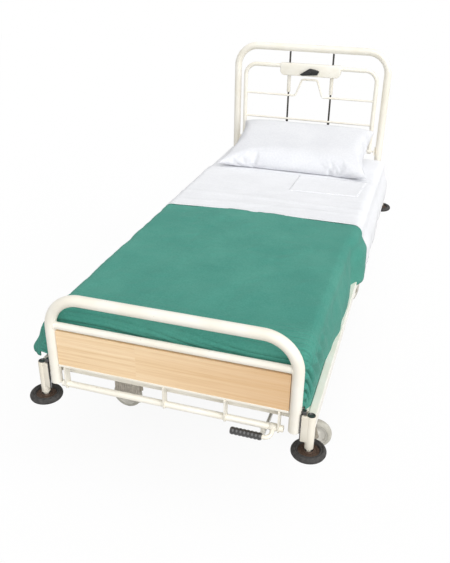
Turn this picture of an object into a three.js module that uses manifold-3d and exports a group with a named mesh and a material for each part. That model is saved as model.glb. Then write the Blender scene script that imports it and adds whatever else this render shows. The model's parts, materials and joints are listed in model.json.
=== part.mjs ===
// A variable-height hospital ward bed, made up with mattress, sheets, blanket and pillow.
// Millimetres, +Z up, +Y from the foot end to the head end, origin on the floor under the middle.
import * as THREE from 'three';
import { mergeVertices } from 'three/addons/utils/BufferGeometryUtils.js';
import { RoundedBoxGeometry } from 'three/addons/geometries/RoundedBoxGeometry.js';
import Module from 'manifold-3d';

const wasm = await Module();
wasm.setup();

// Fits
const GAP = 0.3; // clearance wherever two pieces touch or run in each other
const OVERCUT = 1; // a cutting tool reaches this far past the face that it opens

// End loops, bent from one tube each
const END_TUBE = 38.1;
const END_BEND = 112;
const FOOT_LEG_X = 408;
const FOOT_TOP_Z = 816;
const HEAD_LEG_X = 412;
const HEAD_TOP_Z = 1298;
const LEG_END_Z = 490;

// Corner posts with their sockets, webs and bumper rollers
const POST_X = 457.5;
const POST_Y = 1100;
const POST_TUBE = 29;
const POST_TOP_Z = 560;
const SOCKET_BORE = 19;
const SOCKET_DEPTH = 70;
const WEB_THICK = 8;
const WEB_HEIGHT = 96;
const HEAD_SETBACK = 67.5; // the head loop stands this far in front of the head posts
const BUMPER_D = 112;
const BUMPER_THICK = 24;
const BUMPER_DISH = 6;
const BUMPER_HUB_D = 60;
const BUMPER_Z = 423.5;
const SPINDLE_D = 16;
const KEEPER_D = 34;
const KEEPER_THICK = 4;
const BUMPER_BOSS = 2; // the roller's hub stands this far out beyond the post

// Foot end infill
const MID_RAIL_TUBE = 25;
const MID_RAIL_Z = 712;
const PANEL_THICK = 18;
const PANEL_LOW_Z = 567;
const PANEL_TOP_Z = 695;
const STRIP_THICK = 22;
const STRIP_HEIGHT = 8;

// Pump lever under the foot panel
const LEVER_TUBE = 22;
const LEVER_BORE = 17;
const LEVER_BORE_DEPTH = 60;
const LEVER_Z = 487;
const LEVER_LEFT_X = -387;
const LEVER_RIGHT_X = 375;
const ARM_ROD = 14;
const ARM_X = 342;
const ARM_REACH = 35;
const ARM_DROP = 18;
const ARM_BEND = 20;
const GRIP_LENGTH = 102;
const GRIP_D = 22;
const GRIP_RIB_D = 25;
const GRIP_RIBS = 8;
const GRIP_END_X = 214;
const FINGER_LENGTH = 52;
const FINGER_THICK = 8;
const FINGER_WIDTH = 14;
const HANGER_THICK = 5;
const HANGER_WIDTH = 30;
const HANGER_X = [-370, -20, 185, 358];

// Upper frame
const RAIL_WIDTH = 26;
const RAIL_HEIGHT = 50;
const RAIL_TOP_Z = 554;
const CROSS_WIDTH = 40;
const CROSS_HEIGHT = 40;
const CROSS_TOP_Z = 550;
const CROSS_FOOT_IN = 12; // the same at the foot
const CROSS_SET_IN = 30; // from the deck's head edge to the middle of the head cross rail
const DECK_CLEAR = 20.5; // from the deck to each side rail
const DECK_SHORT_FOOT = 40; // from the foot loop's axis to the deck
const DECK_SHORT_HEAD = 22; // from the backrest loop's axis to the deck
const DECK_THICK = 20;

// Castored base and its two telescopic columns
const CASTOR_X = 374;
const CASTOR_FOOT_Y = -578;
const CASTOR_HEAD_Y = 662;
const WHEEL_D = 127;
const WHEEL_WIDTH = 32;
const TYRE_BORE = 96;
const HUB_WEB = 12;
const HUB_RIM = 6;
const HUB_BOSS = 8;
const HUB_TAPER = 3;
const AXLE_D = 12;
const TRAIL = 38;
const CASTOR_TURN = { foot_left: 180, foot_right: 0, head_left: 107, head_right: 73 }; // degrees from +X
const FORK_PLATE = 4;
const FORK_SIDE_GAP = 3;
const FORK_TOP_Z = 146;
const FORK_CROWN = 14;
const FORK_CROWN_HALF = 30;
const FORK_EYE = 15.6; // the cheeks reach this far round the axle
const STEM_D = 16;
const STEM_LENGTH = 40;
const BOSS_D = 48;
const BASE_TUBE = 40;
const BASE_LOW_Z = 160;
const BASE_END = 45;
const COLUMN_FOOT_Y = -370;
const COLUMN_HEAD_Y = 450;
const COLUMN_SIDE = 110;
const COLUMN_WALL = 6;
const COLUMN_LOW_Z = 70;
const COLUMN_STAGE = 255;
const FLANGE_THICK = 8;
const FLANGE_REACH = 30;

// Hydraulic pump and its push rod
const PUMP_X = 310;
const PUMP_WIDTH = 130;
const PUMP_LENGTH = 170;
const PUMP_HEIGHT = 96;
const PUSH_ROD_D = 12;
const PUSH_ROD_DROP = 45;
const PUSH_ROD_GRIP = 60; // length of the rod inside the pump at rest
const PUMP_BORE_DEPTH = 100;

// Backrest
const REST_TUBE = 22;
const REST_SETBACK = 20.5; // the backrest stands this far in front of the head loop
const REST_LEG_X = 361;
const REST_DROP = 93.5; // from the head loop's top tube down to the backrest's
const REST_BEND = 62;
const PIVOT_Z = 775;
const PIVOT_PIN = 10;
const PIVOT_EYE = 28;
const PIVOT_PLATE = 6;
const PIVOT_PLATE_SIDE = 40;
const REST_BAR = 11;
const LOW_BAR_DROP = 130; // from the stepped bar's feet down to the lower bar
const OMEGA_CLEAR = 19; // air between the stepped bar and the lock housing
const OMEGA_RISE = 89;
const OMEGA_TOP_HALF = 42;
const OMEGA_FOOT_HALF = 75;
const OMEGA_BEND = 16;
const HOUSING_HALF = 165;
const HOUSING_ABOVE = 15.5;
const HOUSING_HEIGHT = 64;
const HOUSING_FRONT = 15;
const HOUSING_BACK = 25;
const HOUSING_CORNER = 22;
const SLEEVE_X = 118;
const SLEEVE_D = 20;
const SLEEVE_LENGTH = 93;
const LOCK_ROD = 10;
const LOCK_ROD_CLEAR = 1.5; // air between a lock rod and the backrest's top tube
const LOCK_ROD_TOP_GAP = 1.2;
const LOCK_ROD_FOOT = 20; // the rods end this far below the lower bar
const ROD_FOOT_D = 14;
const ROD_FOOT_LENGTH = 20;
const HANDLE_LENGTH = 104;
const HANDLE_HEIGHT = 36;
const HANDLE_THICK = 14;
const HANDLE_TILT = 10; // degrees, right end up
const HANDLE_RISE = 25; // from the housing's lower edge up to the handle's pin
const HANDLE_PIN = 12;
const HANDLE_PIN_DEPTH = 8;

// Bedding
const MATTRESS_OVERHANG = 4; // past each side of the deck
const MATTRESS_PAST_FOOT = 2; // the mattress reaches this far past the deck's foot edge
const MATTRESS_SHORT_HEAD = 4; // and ends this far short of its head edge
const MATTRESS_THICK = 171;
const MATTRESS_EDGE = 36;
const CLOTH_BEND = 26;
const CLOTH_BEND_CELLS = 2; // cloth cells that turn round the mattress edge
const BLANKET_THICK = 5;
const BLANKET_HEAD_Y = -32;
const BLANKET_CROWN = 6;
const BLANKET_HEM_Z = 560;
const BLANKET_FLAP = 112;
const BLANKET_FOLD = 2;
const BLANKET_FOLD_PITCH = 260;
const BLANKET_CELLS = { sideCells: 6, topCells: 10, topRows: 18, flapRows: 4 };
const SHEET_CELLS = { sideCells: 5, topCells: 6, topRows: 6, flapRows: 0 };
const TURN_DOWN_ROWS = 12;
const BLANKET_FLARE = 40; // on the right, where the head edge has come out
const BLANKET_FLARE_LENGTH = 330;
const BLANKET_CORNER_FLARE = 50; // on the left, where the foot corner has come out
const BLANKET_CORNER_LENGTH = 170;
const SHEET_THICK = 3;
const SHEET_FOLD = 1.6;
const SHEET_FOLD_PITCH = 190;
const SHEET_HEM_Z = 600;
const TURN_DOWN_LENGTH = 569;
const TURN_DOWN_THICK = 5;
const TURN_DOWN_HEM_Z = 566;
const TURN_DOWN_FLARE = 36;
const TURN_DOWN_FLARE_LENGTH = 2000;
const PILLOW_HALF_WIDTH = 380;
const PILLOW_OFF_REST = 18; // from its back edge to the backrest loop's axis
const PILLOW_DEPTH = 442;
const PILLOW_PUFF = 112;
const PILLOW_LEAN = 135;
const PILLOW_RIM = 6;
const PILLOW_DRAW_IN = 16;
const PILLOW_END_DRAW = 0.05; // the long edges bow in by this share
const PILLOW_FILL = 0.55; // below 1 the bag is plump close up to its seams
const PILLOW_SIDE_SHAPE = 3.2;
const PILLOW_END_SHAPE = 2.6;
const PILLOW_PROP_SHAPE = 1.6;
const PILLOW_COLUMNS = 20;
const PILLOW_ROWS = 12;

// Smoothness of round faces
const TUBE_SIDES = 12;
const ROD_SIDES = 10;
const BEND_STEPS = 6;
const ROD_BEND_STEPS = 3;
const TURNED_SIDES = 20;

// Heights and places that follow from the sizes above
const HEAD_LOOP_Y = POST_Y - HEAD_SETBACK;
const FOOT_LOOP_Y = -POST_Y;
const REST_Y = HEAD_LOOP_Y - REST_SETBACK;
const REST_TOP_Z = HEAD_TOP_Z - REST_DROP;
const HOUSING_TOP_Z = REST_TOP_Z + HOUSING_ABOVE;
const HOUSING_LOW_Z = HOUSING_TOP_Z - HOUSING_HEIGHT;
const SLEEVE_LOW_Z = HOUSING_LOW_Z - SLEEVE_LENGTH;
const HANDLE_Z = HOUSING_LOW_Z + HANDLE_RISE;
const OMEGA_Z = HOUSING_LOW_Z - OMEGA_CLEAR - OMEGA_RISE;
const LOW_BAR_Z = OMEGA_Z - LOW_BAR_DROP;
const LOCK_ROD_LOW_Z = LOW_BAR_Z - LOCK_ROD_FOOT;
const LOCK_ROD_BEHIND = (REST_TUBE + LOCK_ROD) / 2 + LOCK_ROD_CLEAR;
const BASE_TOP_Z = BASE_LOW_Z + BASE_TUBE;
const CROSS_LOW_Z = CROSS_TOP_Z - CROSS_HEIGHT;
const DECK_TOP_Z = CROSS_TOP_Z + DECK_THICK;
const DECK_HALF_WIDTH = POST_X - RAIL_WIDTH / 2 - DECK_CLEAR;
const MATTRESS_HALF_WIDTH = DECK_HALF_WIDTH + MATTRESS_OVERHANG;
const DECK_FOOT_Y = FOOT_LOOP_Y + DECK_SHORT_FOOT;
const DECK_HEAD_Y = REST_Y - DECK_SHORT_HEAD;
const CROSS_FOOT_Y = DECK_FOOT_Y + CROSS_FOOT_IN;
const CROSS_HEAD_Y = DECK_HEAD_Y - CROSS_SET_IN;
const MATTRESS_FOOT_Y = DECK_FOOT_Y - MATTRESS_PAST_FOOT;
const MATTRESS_HEAD_Y = DECK_HEAD_Y - MATTRESS_SHORT_HEAD;
const PILLOW_FRONT_Y = REST_Y - PILLOW_OFF_REST - PILLOW_DEPTH;
const MATTRESS_LOW_Z = DECK_TOP_Z + GAP;
const MATTRESS_TOP_Z = MATTRESS_LOW_Z + MATTRESS_THICK;
const WHEEL_Z = WHEEL_D / 2;
const SHEET_TOP_Z = MATTRESS_TOP_Z + GAP + SHEET_THICK;

const paint = (colour, roughness, metalness) =>
  new THREE.MeshStandardMaterial({ color: colour, roughness, metalness });
const CREAM_PAINT = paint('#f2ecd9', 0.35, 0.0);
const GREY_PAINT = paint('#c9c8c2', 0.45, 0.0);
const OAK_LAMINATE = paint('#e3bd86', 0.45, 0.0);
const BLACK_RUBBER = paint('#2c2b2b', 0.75, 0.0);
const GREY_RUBBER = paint('#8f8d86', 0.7, 0.0);
const PALE_PLASTIC = paint('#d9d6cc', 0.5, 0.0);
const BLACK_PLASTIC = paint('#1d1d1e', 0.4, 0.0);
const DARK_STEEL = paint('#4a4a4b', 0.4, 0.9);
const ZINC_STEEL = paint('#b9bab8', 0.4, 0.9);
const TICKING = paint('#e6e4de', 0.9, 0.0);
const WHITE_LINEN = paint('#f1f2f4', 0.9, 0.0);
const GREEN_WOOL = paint('#529488', 0.95, 0.0);

const bed = new THREE.Group();

// The corner-to-corner width of a many-sided hole that a rod of this diameter turns in freely.
const turningBore = (diameter) => (diameter + 2 * GAP) / Math.cos(Math.PI / TUBE_SIDES);

// Signed volume of a closed indexed mesh: positive when its faces point out.
function signedVolume(geometry) {
  const corner = [new THREE.Vector3(), new THREE.Vector3(), new THREE.Vector3()];
  const index = geometry.index.array;
  let total = 0;
  for (let t = 0; t < index.length; t += 3) {
    corner.forEach((c, k) => c.fromBufferAttribute(geometry.attributes.position, index[t + k]));
    total += corner[0].dot(corner[1].cross(corner[2])) / 6;
  }
  return total;
}

// Weld shared corners, drop unused ones and turn the faces outward.
function closed(geometry) {
  const loose = geometry.index ? geometry.toNonIndexed() : geometry.clone();
  loose.deleteAttribute('normal');
  loose.deleteAttribute('uv');
  const welded = mergeVertices(loose, 1e-3);
  if (signedVolume(welded) < 0) welded.setIndex(Array.from(welded.index.array).reverse());
  return welded;
}

function toSolid(geometry) {
  const mesh = closed(geometry);
  const vertProperties = new Float32Array(mesh.attributes.position.array);
  const triVerts = new Uint32Array(mesh.index.array);
  return new wasm.Manifold(new wasm.Mesh({ numProp: 3, vertProperties, triVerts }));
}

function toGeometry(manifold) {
  const mesh = manifold.getMesh();
  const geometry = new THREE.BufferGeometry();
  geometry.setAttribute('position', new THREE.BufferAttribute(mesh.vertProperties, 3));
  geometry.setIndex(new THREE.BufferAttribute(mesh.triVerts, 1));
  return geometry;
}

const join = (...pieces) => toGeometry(pieces.map(toSolid).reduce((all, next) => all.add(next)));
const cut = (piece, ...tools) =>
  toGeometry(tools.map(toSolid).reduce((left, tool) => left.subtract(tool), toSolid(piece)));

function add(name, geometry, material) {
  const ready = closed(geometry);
  ready.computeVertexNormals();
  const mesh = new THREE.Mesh(ready, material);
  mesh.name = name;
  bed.add(mesh);
}

function box(x0, x1, y0, y1, z0, z1) {
  const geometry = new THREE.BoxGeometry(x1 - x0, y1 - y0, z1 - z0);
  return geometry.translate((x0 + x1) / 2, (y0 + y1) / 2, (z0 + z1) / 2);
}

function rodX(diameter, x0, x1, y, z, sides = TUBE_SIDES) {
  const geometry = new THREE.CylinderGeometry(diameter / 2, diameter / 2, x1 - x0, sides);
  return geometry.rotateZ(Math.PI / 2).translate((x0 + x1) / 2, y, z);
}

function rodY(diameter, x, y0, y1, z, sides = TUBE_SIDES) {
  const geometry = new THREE.CylinderGeometry(diameter / 2, diameter / 2, y1 - y0, sides);
  return geometry.translate(x, (y0 + y1) / 2, z);
}

function rodZ(diameter, x, y, z0, z1, sides = TUBE_SIDES) {
  const geometry = new THREE.CylinderGeometry(diameter / 2, diameter / 2, z1 - z0, sides);
  return geometry.rotateX(Math.PI / 2).translate(x, y, (z0 + z1) / 2);
}

// A profile of [radius, height] pairs turned about the Z axis.
function turnedZ(profile, x, y, z) {
  const points = profile.map(([radius, height]) => new THREE.Vector2(radius, height));
  return new THREE.LatheGeometry(points, TURNED_SIDES).rotateX(Math.PI / 2).translate(x, y, z);
}

// The same about an axis along Y, for wheels that roll along X.
function turnedY(profile, x, y, z) {
  const points = profile.map(([radius, height]) => new THREE.Vector2(radius, height));
  return new THREE.LatheGeometry(points, TURNED_SIDES).translate(x, y, z);
}

// A flat shape drawn in X and Z, given a thickness along Y.
function plateXZ(shape, y0, y1, curveSegments = 8) {
  const options = { depth: y1 - y0, bevelEnabled: false, curveSegments };
  return new THREE.ExtrudeGeometry(shape, options).rotateX(Math.PI / 2).translate(0, y1, 0);
}

// A centre line through given points, walked point by point, so straight runs take one step.
class CentreLine extends THREE.Curve {
  constructor(points) {
    super();
    this.points = points;
  }

  getPoint(t, target = new THREE.Vector3()) {
    const place = Math.min(Math.max(t, 0), 1) * (this.points.length - 1);
    const start = Math.min(Math.floor(place), this.points.length - 2);
    return target.lerpVectors(this.points[start], this.points[start + 1], place - start);
  }

  getPointAt(t, target) {
    return this.getPoint(t, target);
  }

  getTangentAt(t, target) {
    return this.getTangent(t, target);
  }
}

// Corner points with every inner corner rounded to one bend radius.
function bentPoints(corners, bend, steps) {
  const points = [corners[0]];
  for (let k = 1; k < corners.length - 1; k += 1) {
    const back = corners[k - 1].clone().sub(corners[k]).normalize();
    const ahead = corners[k + 1].clone().sub(corners[k]).normalize();
    const half = Math.acos(back.dot(ahead)) / 2;
    const centre = back.clone().add(ahead).normalize().multiplyScalar(bend / Math.sin(half)).add(corners[k]);
    const from = back.multiplyScalar(bend / Math.tan(half)).add(corners[k]).sub(centre);
    const to = ahead.multiplyScalar(bend / Math.tan(half)).add(corners[k]).sub(centre);
    const turn = from.angleTo(to);
    for (let s = 0; s <= steps; s += 1) {
      const a = (turn * s) / steps;
      const spoke = from.clone().multiplyScalar(Math.sin(turn - a)).addScaledVector(to, Math.sin(a));
      points.push(spoke.divideScalar(Math.sin(turn)).add(centre));
    }
  }
  points.push(corners[corners.length - 1]);
  return points;
}

function bentTube(corners, bend, diameter, sides = TUBE_SIDES, bendSteps = BEND_STEPS) {
  const points = bentPoints(corners.map((c) => new THREE.Vector3(...c)), bend, bendSteps);
  const ring = new THREE.Shape().absarc(0, 0, diameter / 2, 0, 2 * Math.PI);
  const extrudePath = new CentreLine(points);
  const options = { steps: points.length - 1, extrudePath, curveSegments: sides / 2 };
  return new THREE.ExtrudeGeometry(ring, options);
}

// An upright loop: two legs and a top, in a plane across the bed.
function uprightLoop(legX, y, lowZ, topZ, bend, diameter) {
  const corners = [[-legX, y, lowZ], [-legX, y, topZ], [legX, y, topZ], [legX, y, lowZ]];
  return bentTube(corners, bend, diameter);
}

// Foot end
function makeFootEnd() {
  const inner = FOOT_LEG_X - END_TUBE / 2 - GAP;
  const y = FOOT_LOOP_Y;
  add('foot_loop', uprightLoop(FOOT_LEG_X, y, LEG_END_Z, FOOT_TOP_Z, END_BEND, END_TUBE), CREAM_PAINT);
  const copes = uprightLoop(FOOT_LEG_X, y, LEG_END_Z, FOOT_TOP_Z, END_BEND, END_TUBE + 2 * GAP);
  const midRail = cut(rodX(MID_RAIL_TUBE, -FOOT_LEG_X, FOOT_LEG_X, y, MID_RAIL_Z), copes);
  add('foot_mid_rail', midRail, CREAM_PAINT);
  const panel = box(-inner, inner, y - PANEL_THICK / 2, y + PANEL_THICK / 2, PANEL_LOW_Z, PANEL_TOP_Z);
  add('foot_panel', panel, OAK_LAMINATE);
  const stripTop = PANEL_LOW_Z - GAP;
  const stripLow = stripTop - STRIP_HEIGHT;
  const strip = box(-inner, inner, y - STRIP_THICK / 2, y + STRIP_THICK / 2, stripLow, stripTop);
  add('panel_strip', strip, CREAM_PAINT);
  HANGER_X.forEach((x, k) => add(`lever_hanger_${k + 1}`, hanger(x, stripLow - GAP), CREAM_PAINT));
}

// A strap under the panel with a bearing hole for the lever tube.
function hanger(x, topZ) {
  const eye = HANGER_WIDTH / 2;
  const strap = box(x, x + HANGER_THICK, FOOT_LOOP_Y - eye, FOOT_LOOP_Y + eye, LEVER_Z, topZ);
  const round = rodX(HANGER_WIDTH, x, x + HANGER_THICK, FOOT_LOOP_Y, LEVER_Z);
  const hole = rodX(turningBore(LEVER_TUBE), x - OVERCUT, x + HANGER_THICK + OVERCUT, FOOT_LOOP_Y, LEVER_Z);
  return cut(join(strap, round), hole);
}

// Pump lever: tube with a crank finger, bent arm with a ribbed grip, and the push rod that it works
function makeLever() {
  const y = FOOT_LOOP_Y;
  const tube = rodX(LEVER_TUBE, LEVER_LEFT_X, LEVER_RIGHT_X, y, LEVER_Z);
  const bore = rodX(LEVER_BORE, LEVER_RIGHT_X - LEVER_BORE_DEPTH, LEVER_RIGHT_X + OVERCUT, y, LEVER_Z);
  const armY = y - ARM_REACH;
  const armZ = LEVER_Z - ARM_DROP;
  const armEndX = GRIP_END_X + ARM_ROD;
  const corners = [[ARM_X, y, LEVER_Z], [ARM_X, armY, armZ], [armEndX, armY, armZ]];
  const arm = bentTube(corners, ARM_BEND, ARM_ROD, ROD_SIDES, ROD_BEND_STEPS);
  const fingerX = PUMP_X - FINGER_WIDTH / 2;
  const fingerY = y - FINGER_THICK / 2;
  const fingerEnd = [fingerX + FINGER_WIDTH, fingerY + FINGER_THICK];
  const finger = box(fingerX, fingerEnd[0], fingerY, fingerEnd[1], LEVER_Z - FINGER_LENGTH, LEVER_Z);
  add('lever_tube', join(cut(tube, bore), arm, finger), CREAM_PAINT);
  add('lever_grip', ribbedGrip(armEndX, armY, armZ), BLACK_RUBBER);
}

// A rubber sleeve, closed at its left end, with round ribs.
function ribbedGrip(armEndX, y, z) {
  const pitch = GRIP_LENGTH / GRIP_RIBS;
  const bore = ARM_ROD / 2 + GAP;
  const blind = armEndX - GAP - GRIP_END_X;
  const profile = [[0, 0], [GRIP_D / 2, 0]];
  for (let k = 0; k < GRIP_RIBS; k += 1) {
    profile.push([GRIP_RIB_D / 2, (k + 0.25) * pitch], [GRIP_RIB_D / 2, (k + 0.75) * pitch]);
    profile.push([GRIP_D / 2, (k + 1) * pitch]);
  }
  profile.push([bore, GRIP_LENGTH], [bore, blind], [0, blind]);
  const points = profile.map(([radius, along]) => new THREE.Vector2(radius, along));
  return new THREE.LatheGeometry(points, TUBE_SIDES).rotateZ(-Math.PI / 2).translate(GRIP_END_X, y, z);
}

function makePump() {
  const y0 = COLUMN_FOOT_Y - PUMP_LENGTH / 2;
  const z = LEVER_Z - PUSH_ROD_DROP;
  const half = PUMP_WIDTH / 2;
  const low = CROSS_LOW_Z - PUMP_HEIGHT;
  const body = box(PUMP_X - half, PUMP_X + half, y0, y0 + PUMP_LENGTH, low, CROSS_LOW_Z);
  const bore = rodY(PUSH_ROD_D + 2 * GAP, PUMP_X, y0 - OVERCUT, y0 + PUMP_BORE_DEPTH, z);
  add('pump_unit', cut(body, bore), GREY_PAINT);
  const rodStart = FOOT_LOOP_Y + FINGER_THICK / 2 + GAP;
  add('pump_push_rod', rodY(PUSH_ROD_D, PUMP_X, rodStart, y0 + PUSH_ROD_GRIP, z), ZINC_STEEL);
}

// Corner posts and bumper rollers
function makeCorner(side, end, name) {
  const x = side * POST_X;
  const y = end * POST_Y;
  const bumperTop = BUMPER_Z + BUMPER_THICK / 2;
  const bumperLow = BUMPER_Z - BUMPER_THICK / 2;
  const postLow = bumperTop + GAP;
  const keeperTop = bumperLow - GAP;
  const tube = rodZ(POST_TUBE, x, y, postLow, POST_TOP_Z);
  const spindle = rodZ(SPINDLE_D, x, y, keeperTop - KEEPER_THICK, postLow + POST_TUBE);
  const keeper = rodZ(KEEPER_D, x, y, keeperTop - KEEPER_THICK, keeperTop);
  const socket = rodZ(SOCKET_BORE, x, y, POST_TOP_Z - SOCKET_DEPTH, POST_TOP_Z + OVERCUT);
  const post = cut(join(tube, spindle, keeper, web(side, end)), socket);
  add(`corner_post_${name}`, post, CREAM_PAINT);
  const spin = SPINDLE_D / 2 + GAP;
  const rim = BUMPER_D / 2;
  const edge = BUMPER_THICK / 4;
  const dish = BUMPER_THICK - BUMPER_DISH;
  const profile = [
    [spin, 0], [rim - edge, 0], [rim, edge], [rim, BUMPER_THICK - edge], [rim - edge, BUMPER_THICK],
    [rim - 2 * edge, BUMPER_THICK], [BUMPER_HUB_D / 2, dish], [POST_TUBE / 2 + BUMPER_BOSS, BUMPER_THICK],
    [spin, BUMPER_THICK], [spin, 0],
  ];
  add(`bumper_roller_${name}`, turnedZ(profile, x, y, bumperLow), BLACK_RUBBER);
}

// The plate between a post and its end loop's leg; at the head it also runs forward to the loop.
function web(side, end) {
  const z0 = POST_TOP_Z - WEB_HEIGHT;
  const legX = end < 0 ? FOOT_LEG_X : HEAD_LEG_X;
  const inner = legX + END_TUBE / 2 + GAP;
  const half = WEB_THICK / 2;
  const across = box(inner, POST_X, end * POST_Y - half, end * POST_Y + half, z0, POST_TOP_Z);
  const along = box(inner, inner + WEB_THICK, HEAD_LOOP_Y - half, POST_Y + half, z0, POST_TOP_Z);
  const plate = end < 0 ? across : join(across, along);
  return side > 0 ? plate : closed(plate.clone().scale(-1, 1, 1));
}

// Upper frame: side rails, cross rails and the mattress deck
function makeUpperFrame() {
  const railEnd = POST_Y - POST_TUBE / 2 - GAP;
  const half = RAIL_WIDTH / 2;
  const low = RAIL_TOP_Z - RAIL_HEIGHT;
  for (const [name, x] of [['left', -POST_X], ['right', POST_X]]) {
    add(`side_rail_${name}`, box(x - half, x + half, -railEnd, railEnd, low, RAIL_TOP_Z), CREAM_PAINT);
  }
  const reach = POST_X - half - GAP;
  const rails = [
    ['foot', CROSS_FOOT_Y, CROSS_WIDTH], ['column_foot', COLUMN_FOOT_Y, COLUMN_SIDE],
    ['column_head', COLUMN_HEAD_Y, COLUMN_SIDE], ['head', CROSS_HEAD_Y, CROSS_WIDTH],
  ];
  for (const [name, y, width] of rails) {
    const rail = box(-reach, reach, y - width / 2, y + width / 2, CROSS_LOW_Z, CROSS_TOP_Z);
    add(`cross_rail_${name}`, rail, CREAM_PAINT);
  }
  const w = DECK_HALF_WIDTH;
  const deck = box(-w, w, DECK_FOOT_Y, DECK_HEAD_Y, CROSS_TOP_Z, DECK_TOP_Z);
  add('mattress_deck', deck, GREY_PAINT);
}

// Base frame with a boss over each castor, and the outer and inner lifting columns
function makeBase() {
  const half = BASE_TUBE / 2;
  const pieces = [];
  const bores = [];
  for (const x of [-CASTOR_X, CASTOR_X]) {
    const ends = [CASTOR_FOOT_Y - BASE_END, CASTOR_HEAD_Y + BASE_END];
    pieces.push(box(x - half, x + half, ends[0], ends[1], BASE_LOW_Z, BASE_TOP_Z));
    for (const y of [CASTOR_FOOT_Y, CASTOR_HEAD_Y]) {
      pieces.push(rodZ(BOSS_D, x, y, FORK_TOP_Z + GAP, BASE_LOW_Z + half));
      bores.push(rodZ(turningBore(STEM_D), x, y, FORK_TOP_Z, FORK_TOP_Z + STEM_LENGTH + GAP));
    }
  }
  for (const y of [COLUMN_FOOT_Y, COLUMN_HEAD_Y]) {
    for (const direction of [-1, 1]) {
      const middle = y + direction * (COLUMN_SIDE / 2 + GAP + half);
      pieces.push(box(-CASTOR_X, CASTOR_X, middle - half, middle + half, BASE_LOW_Z, BASE_TOP_Z));
    }
  }
  add('base_frame', cut(join(...pieces), ...bores), GREY_PAINT);
  makeColumn('foot', COLUMN_FOOT_Y);
  makeColumn('head', COLUMN_HEAD_Y);
}

function makeColumn(name, y) {
  const side = COLUMN_SIDE / 2;
  const bore = side - COLUMN_WALL;
  const top = COLUMN_LOW_Z + COLUMN_STAGE;
  const wide = side + FLANGE_REACH;
  const tube = box(-side, side, y - side, y + side, COLUMN_LOW_Z, top);
  const flange = box(-wide, wide, y - wide, y + wide, BASE_TOP_Z, BASE_TOP_Z + FLANGE_THICK);
  const hollow = box(-bore, bore, y - bore, y + bore, COLUMN_LOW_Z - OVERCUT, top + OVERCUT);
  add(`column_outer_${name}`, cut(join(tube, flange), hollow), GREY_PAINT);
  const slide = bore - GAP;
  const inner = box(-slide, slide, y - slide, y + slide, CROSS_LOW_Z - COLUMN_STAGE, CROSS_LOW_Z);
  add(`column_inner_${name}`, inner, ZINC_STEEL);
}

// Castors, drawn trailing along X, then turned about their swivels
function makeCastor(side, y, name) {
  const turn = THREE.MathUtils.degToRad(CASTOR_TURN[name]);
  const place = (piece) => piece.rotateZ(turn).translate(side * CASTOR_X, y, 0);
  add(`castor_fork_${name}`, place(fork()), ZINC_STEEL);
  const half = WHEEL_WIDTH / 2;
  const tread = WHEEL_D / 2;
  const seat = TYRE_BORE / 2;
  const shoulder = half / 2;
  const tyre = [
    [seat, -half], [tread - shoulder, -half], [tread, -shoulder], [tread, shoulder],
    [tread - shoulder, half], [seat, half], [seat, -half],
  ];
  add(`castor_tyre_${name}`, place(turnedY(tyre, TRAIL, 0, WHEEL_Z)), GREY_RUBBER);
  const bore = AXLE_D / 2 + GAP;
  const rim = seat - GAP;
  const lip = rim - HUB_RIM;
  const boss = bore + HUB_BOSS;
  const hub = [
    [bore, -half], [boss, -half], [boss + HUB_TAPER, -HUB_WEB / 2], [lip, -HUB_WEB / 2],
    [rim, -half], [rim, half], [lip, HUB_WEB / 2], [boss + HUB_TAPER, HUB_WEB / 2],
    [boss, half], [bore, half], [bore, -half],
  ];
  add(`castor_hub_${name}`, place(turnedY(hub, TRAIL, 0, WHEEL_Z)), PALE_PLASTIC);
}

// Two cheek plates, a crown, a swivel stem and the axle, about the swivel axis.
function fork() {
  const cheek = new THREE.Shape();
  const crownLow = FORK_TOP_Z - FORK_CROWN;
  cheek.moveTo(-FORK_CROWN_HALF, FORK_TOP_Z);
  cheek.lineTo(FORK_CROWN_HALF, FORK_TOP_Z);
  cheek.lineTo(TRAIL + FORK_EYE, WHEEL_Z);
  cheek.lineTo(TRAIL, WHEEL_Z - FORK_EYE);
  cheek.lineTo(TRAIL - FORK_EYE, WHEEL_Z);
  const inside = WHEEL_WIDTH / 2 + FORK_SIDE_GAP;
  const outside = inside + FORK_PLATE;
  const crown = box(-FORK_CROWN_HALF, FORK_CROWN_HALF, -outside, outside, crownLow, FORK_TOP_Z);
  const stem = rodZ(STEM_D, 0, 0, crownLow, FORK_TOP_Z + STEM_LENGTH);
  const axle = rodY(AXLE_D, TRAIL, -outside - FORK_SIDE_GAP, outside + FORK_SIDE_GAP, WHEEL_Z);
  return join(plateXZ(cheek, -outside, -inside), plateXZ(cheek, inside, outside), crown, stem, axle);
}

// Head end loop and the backrest that tilts in it
function makeHeadEnd() {
  const loop = uprightLoop(HEAD_LEG_X, HEAD_LOOP_Y, LEG_END_Z, HEAD_TOP_Z, END_BEND, END_TUBE);
  add('head_loop', loop, CREAM_PAINT);
  for (const [name, side] of [['left', -1], ['right', 1]]) {
    add(`backrest_pivot_${name}`, pivot(side), CREAM_PAINT);
  }
}

// A plate on the loop's leg with the pin that the backrest turns on.
function pivot(side) {
  const outer = HEAD_LEG_X - END_TUBE / 2 - GAP;
  const half = PIVOT_PLATE_SIDE / 2;
  const middle = (REST_Y + HEAD_LOOP_Y) / 2;
  const inner = outer - PIVOT_PLATE;
  const plate = box(inner, outer, middle - half, middle + half, PIVOT_Z - half, PIVOT_Z + half);
  const pin = rodX(PIVOT_PIN, REST_LEG_X - PIVOT_EYE / 2, outer - PIVOT_PLATE / 2, REST_Y, PIVOT_Z);
  const whole = join(plate, pin);
  return side > 0 ? whole : closed(whole.scale(-1, 1, 1));
}

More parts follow.
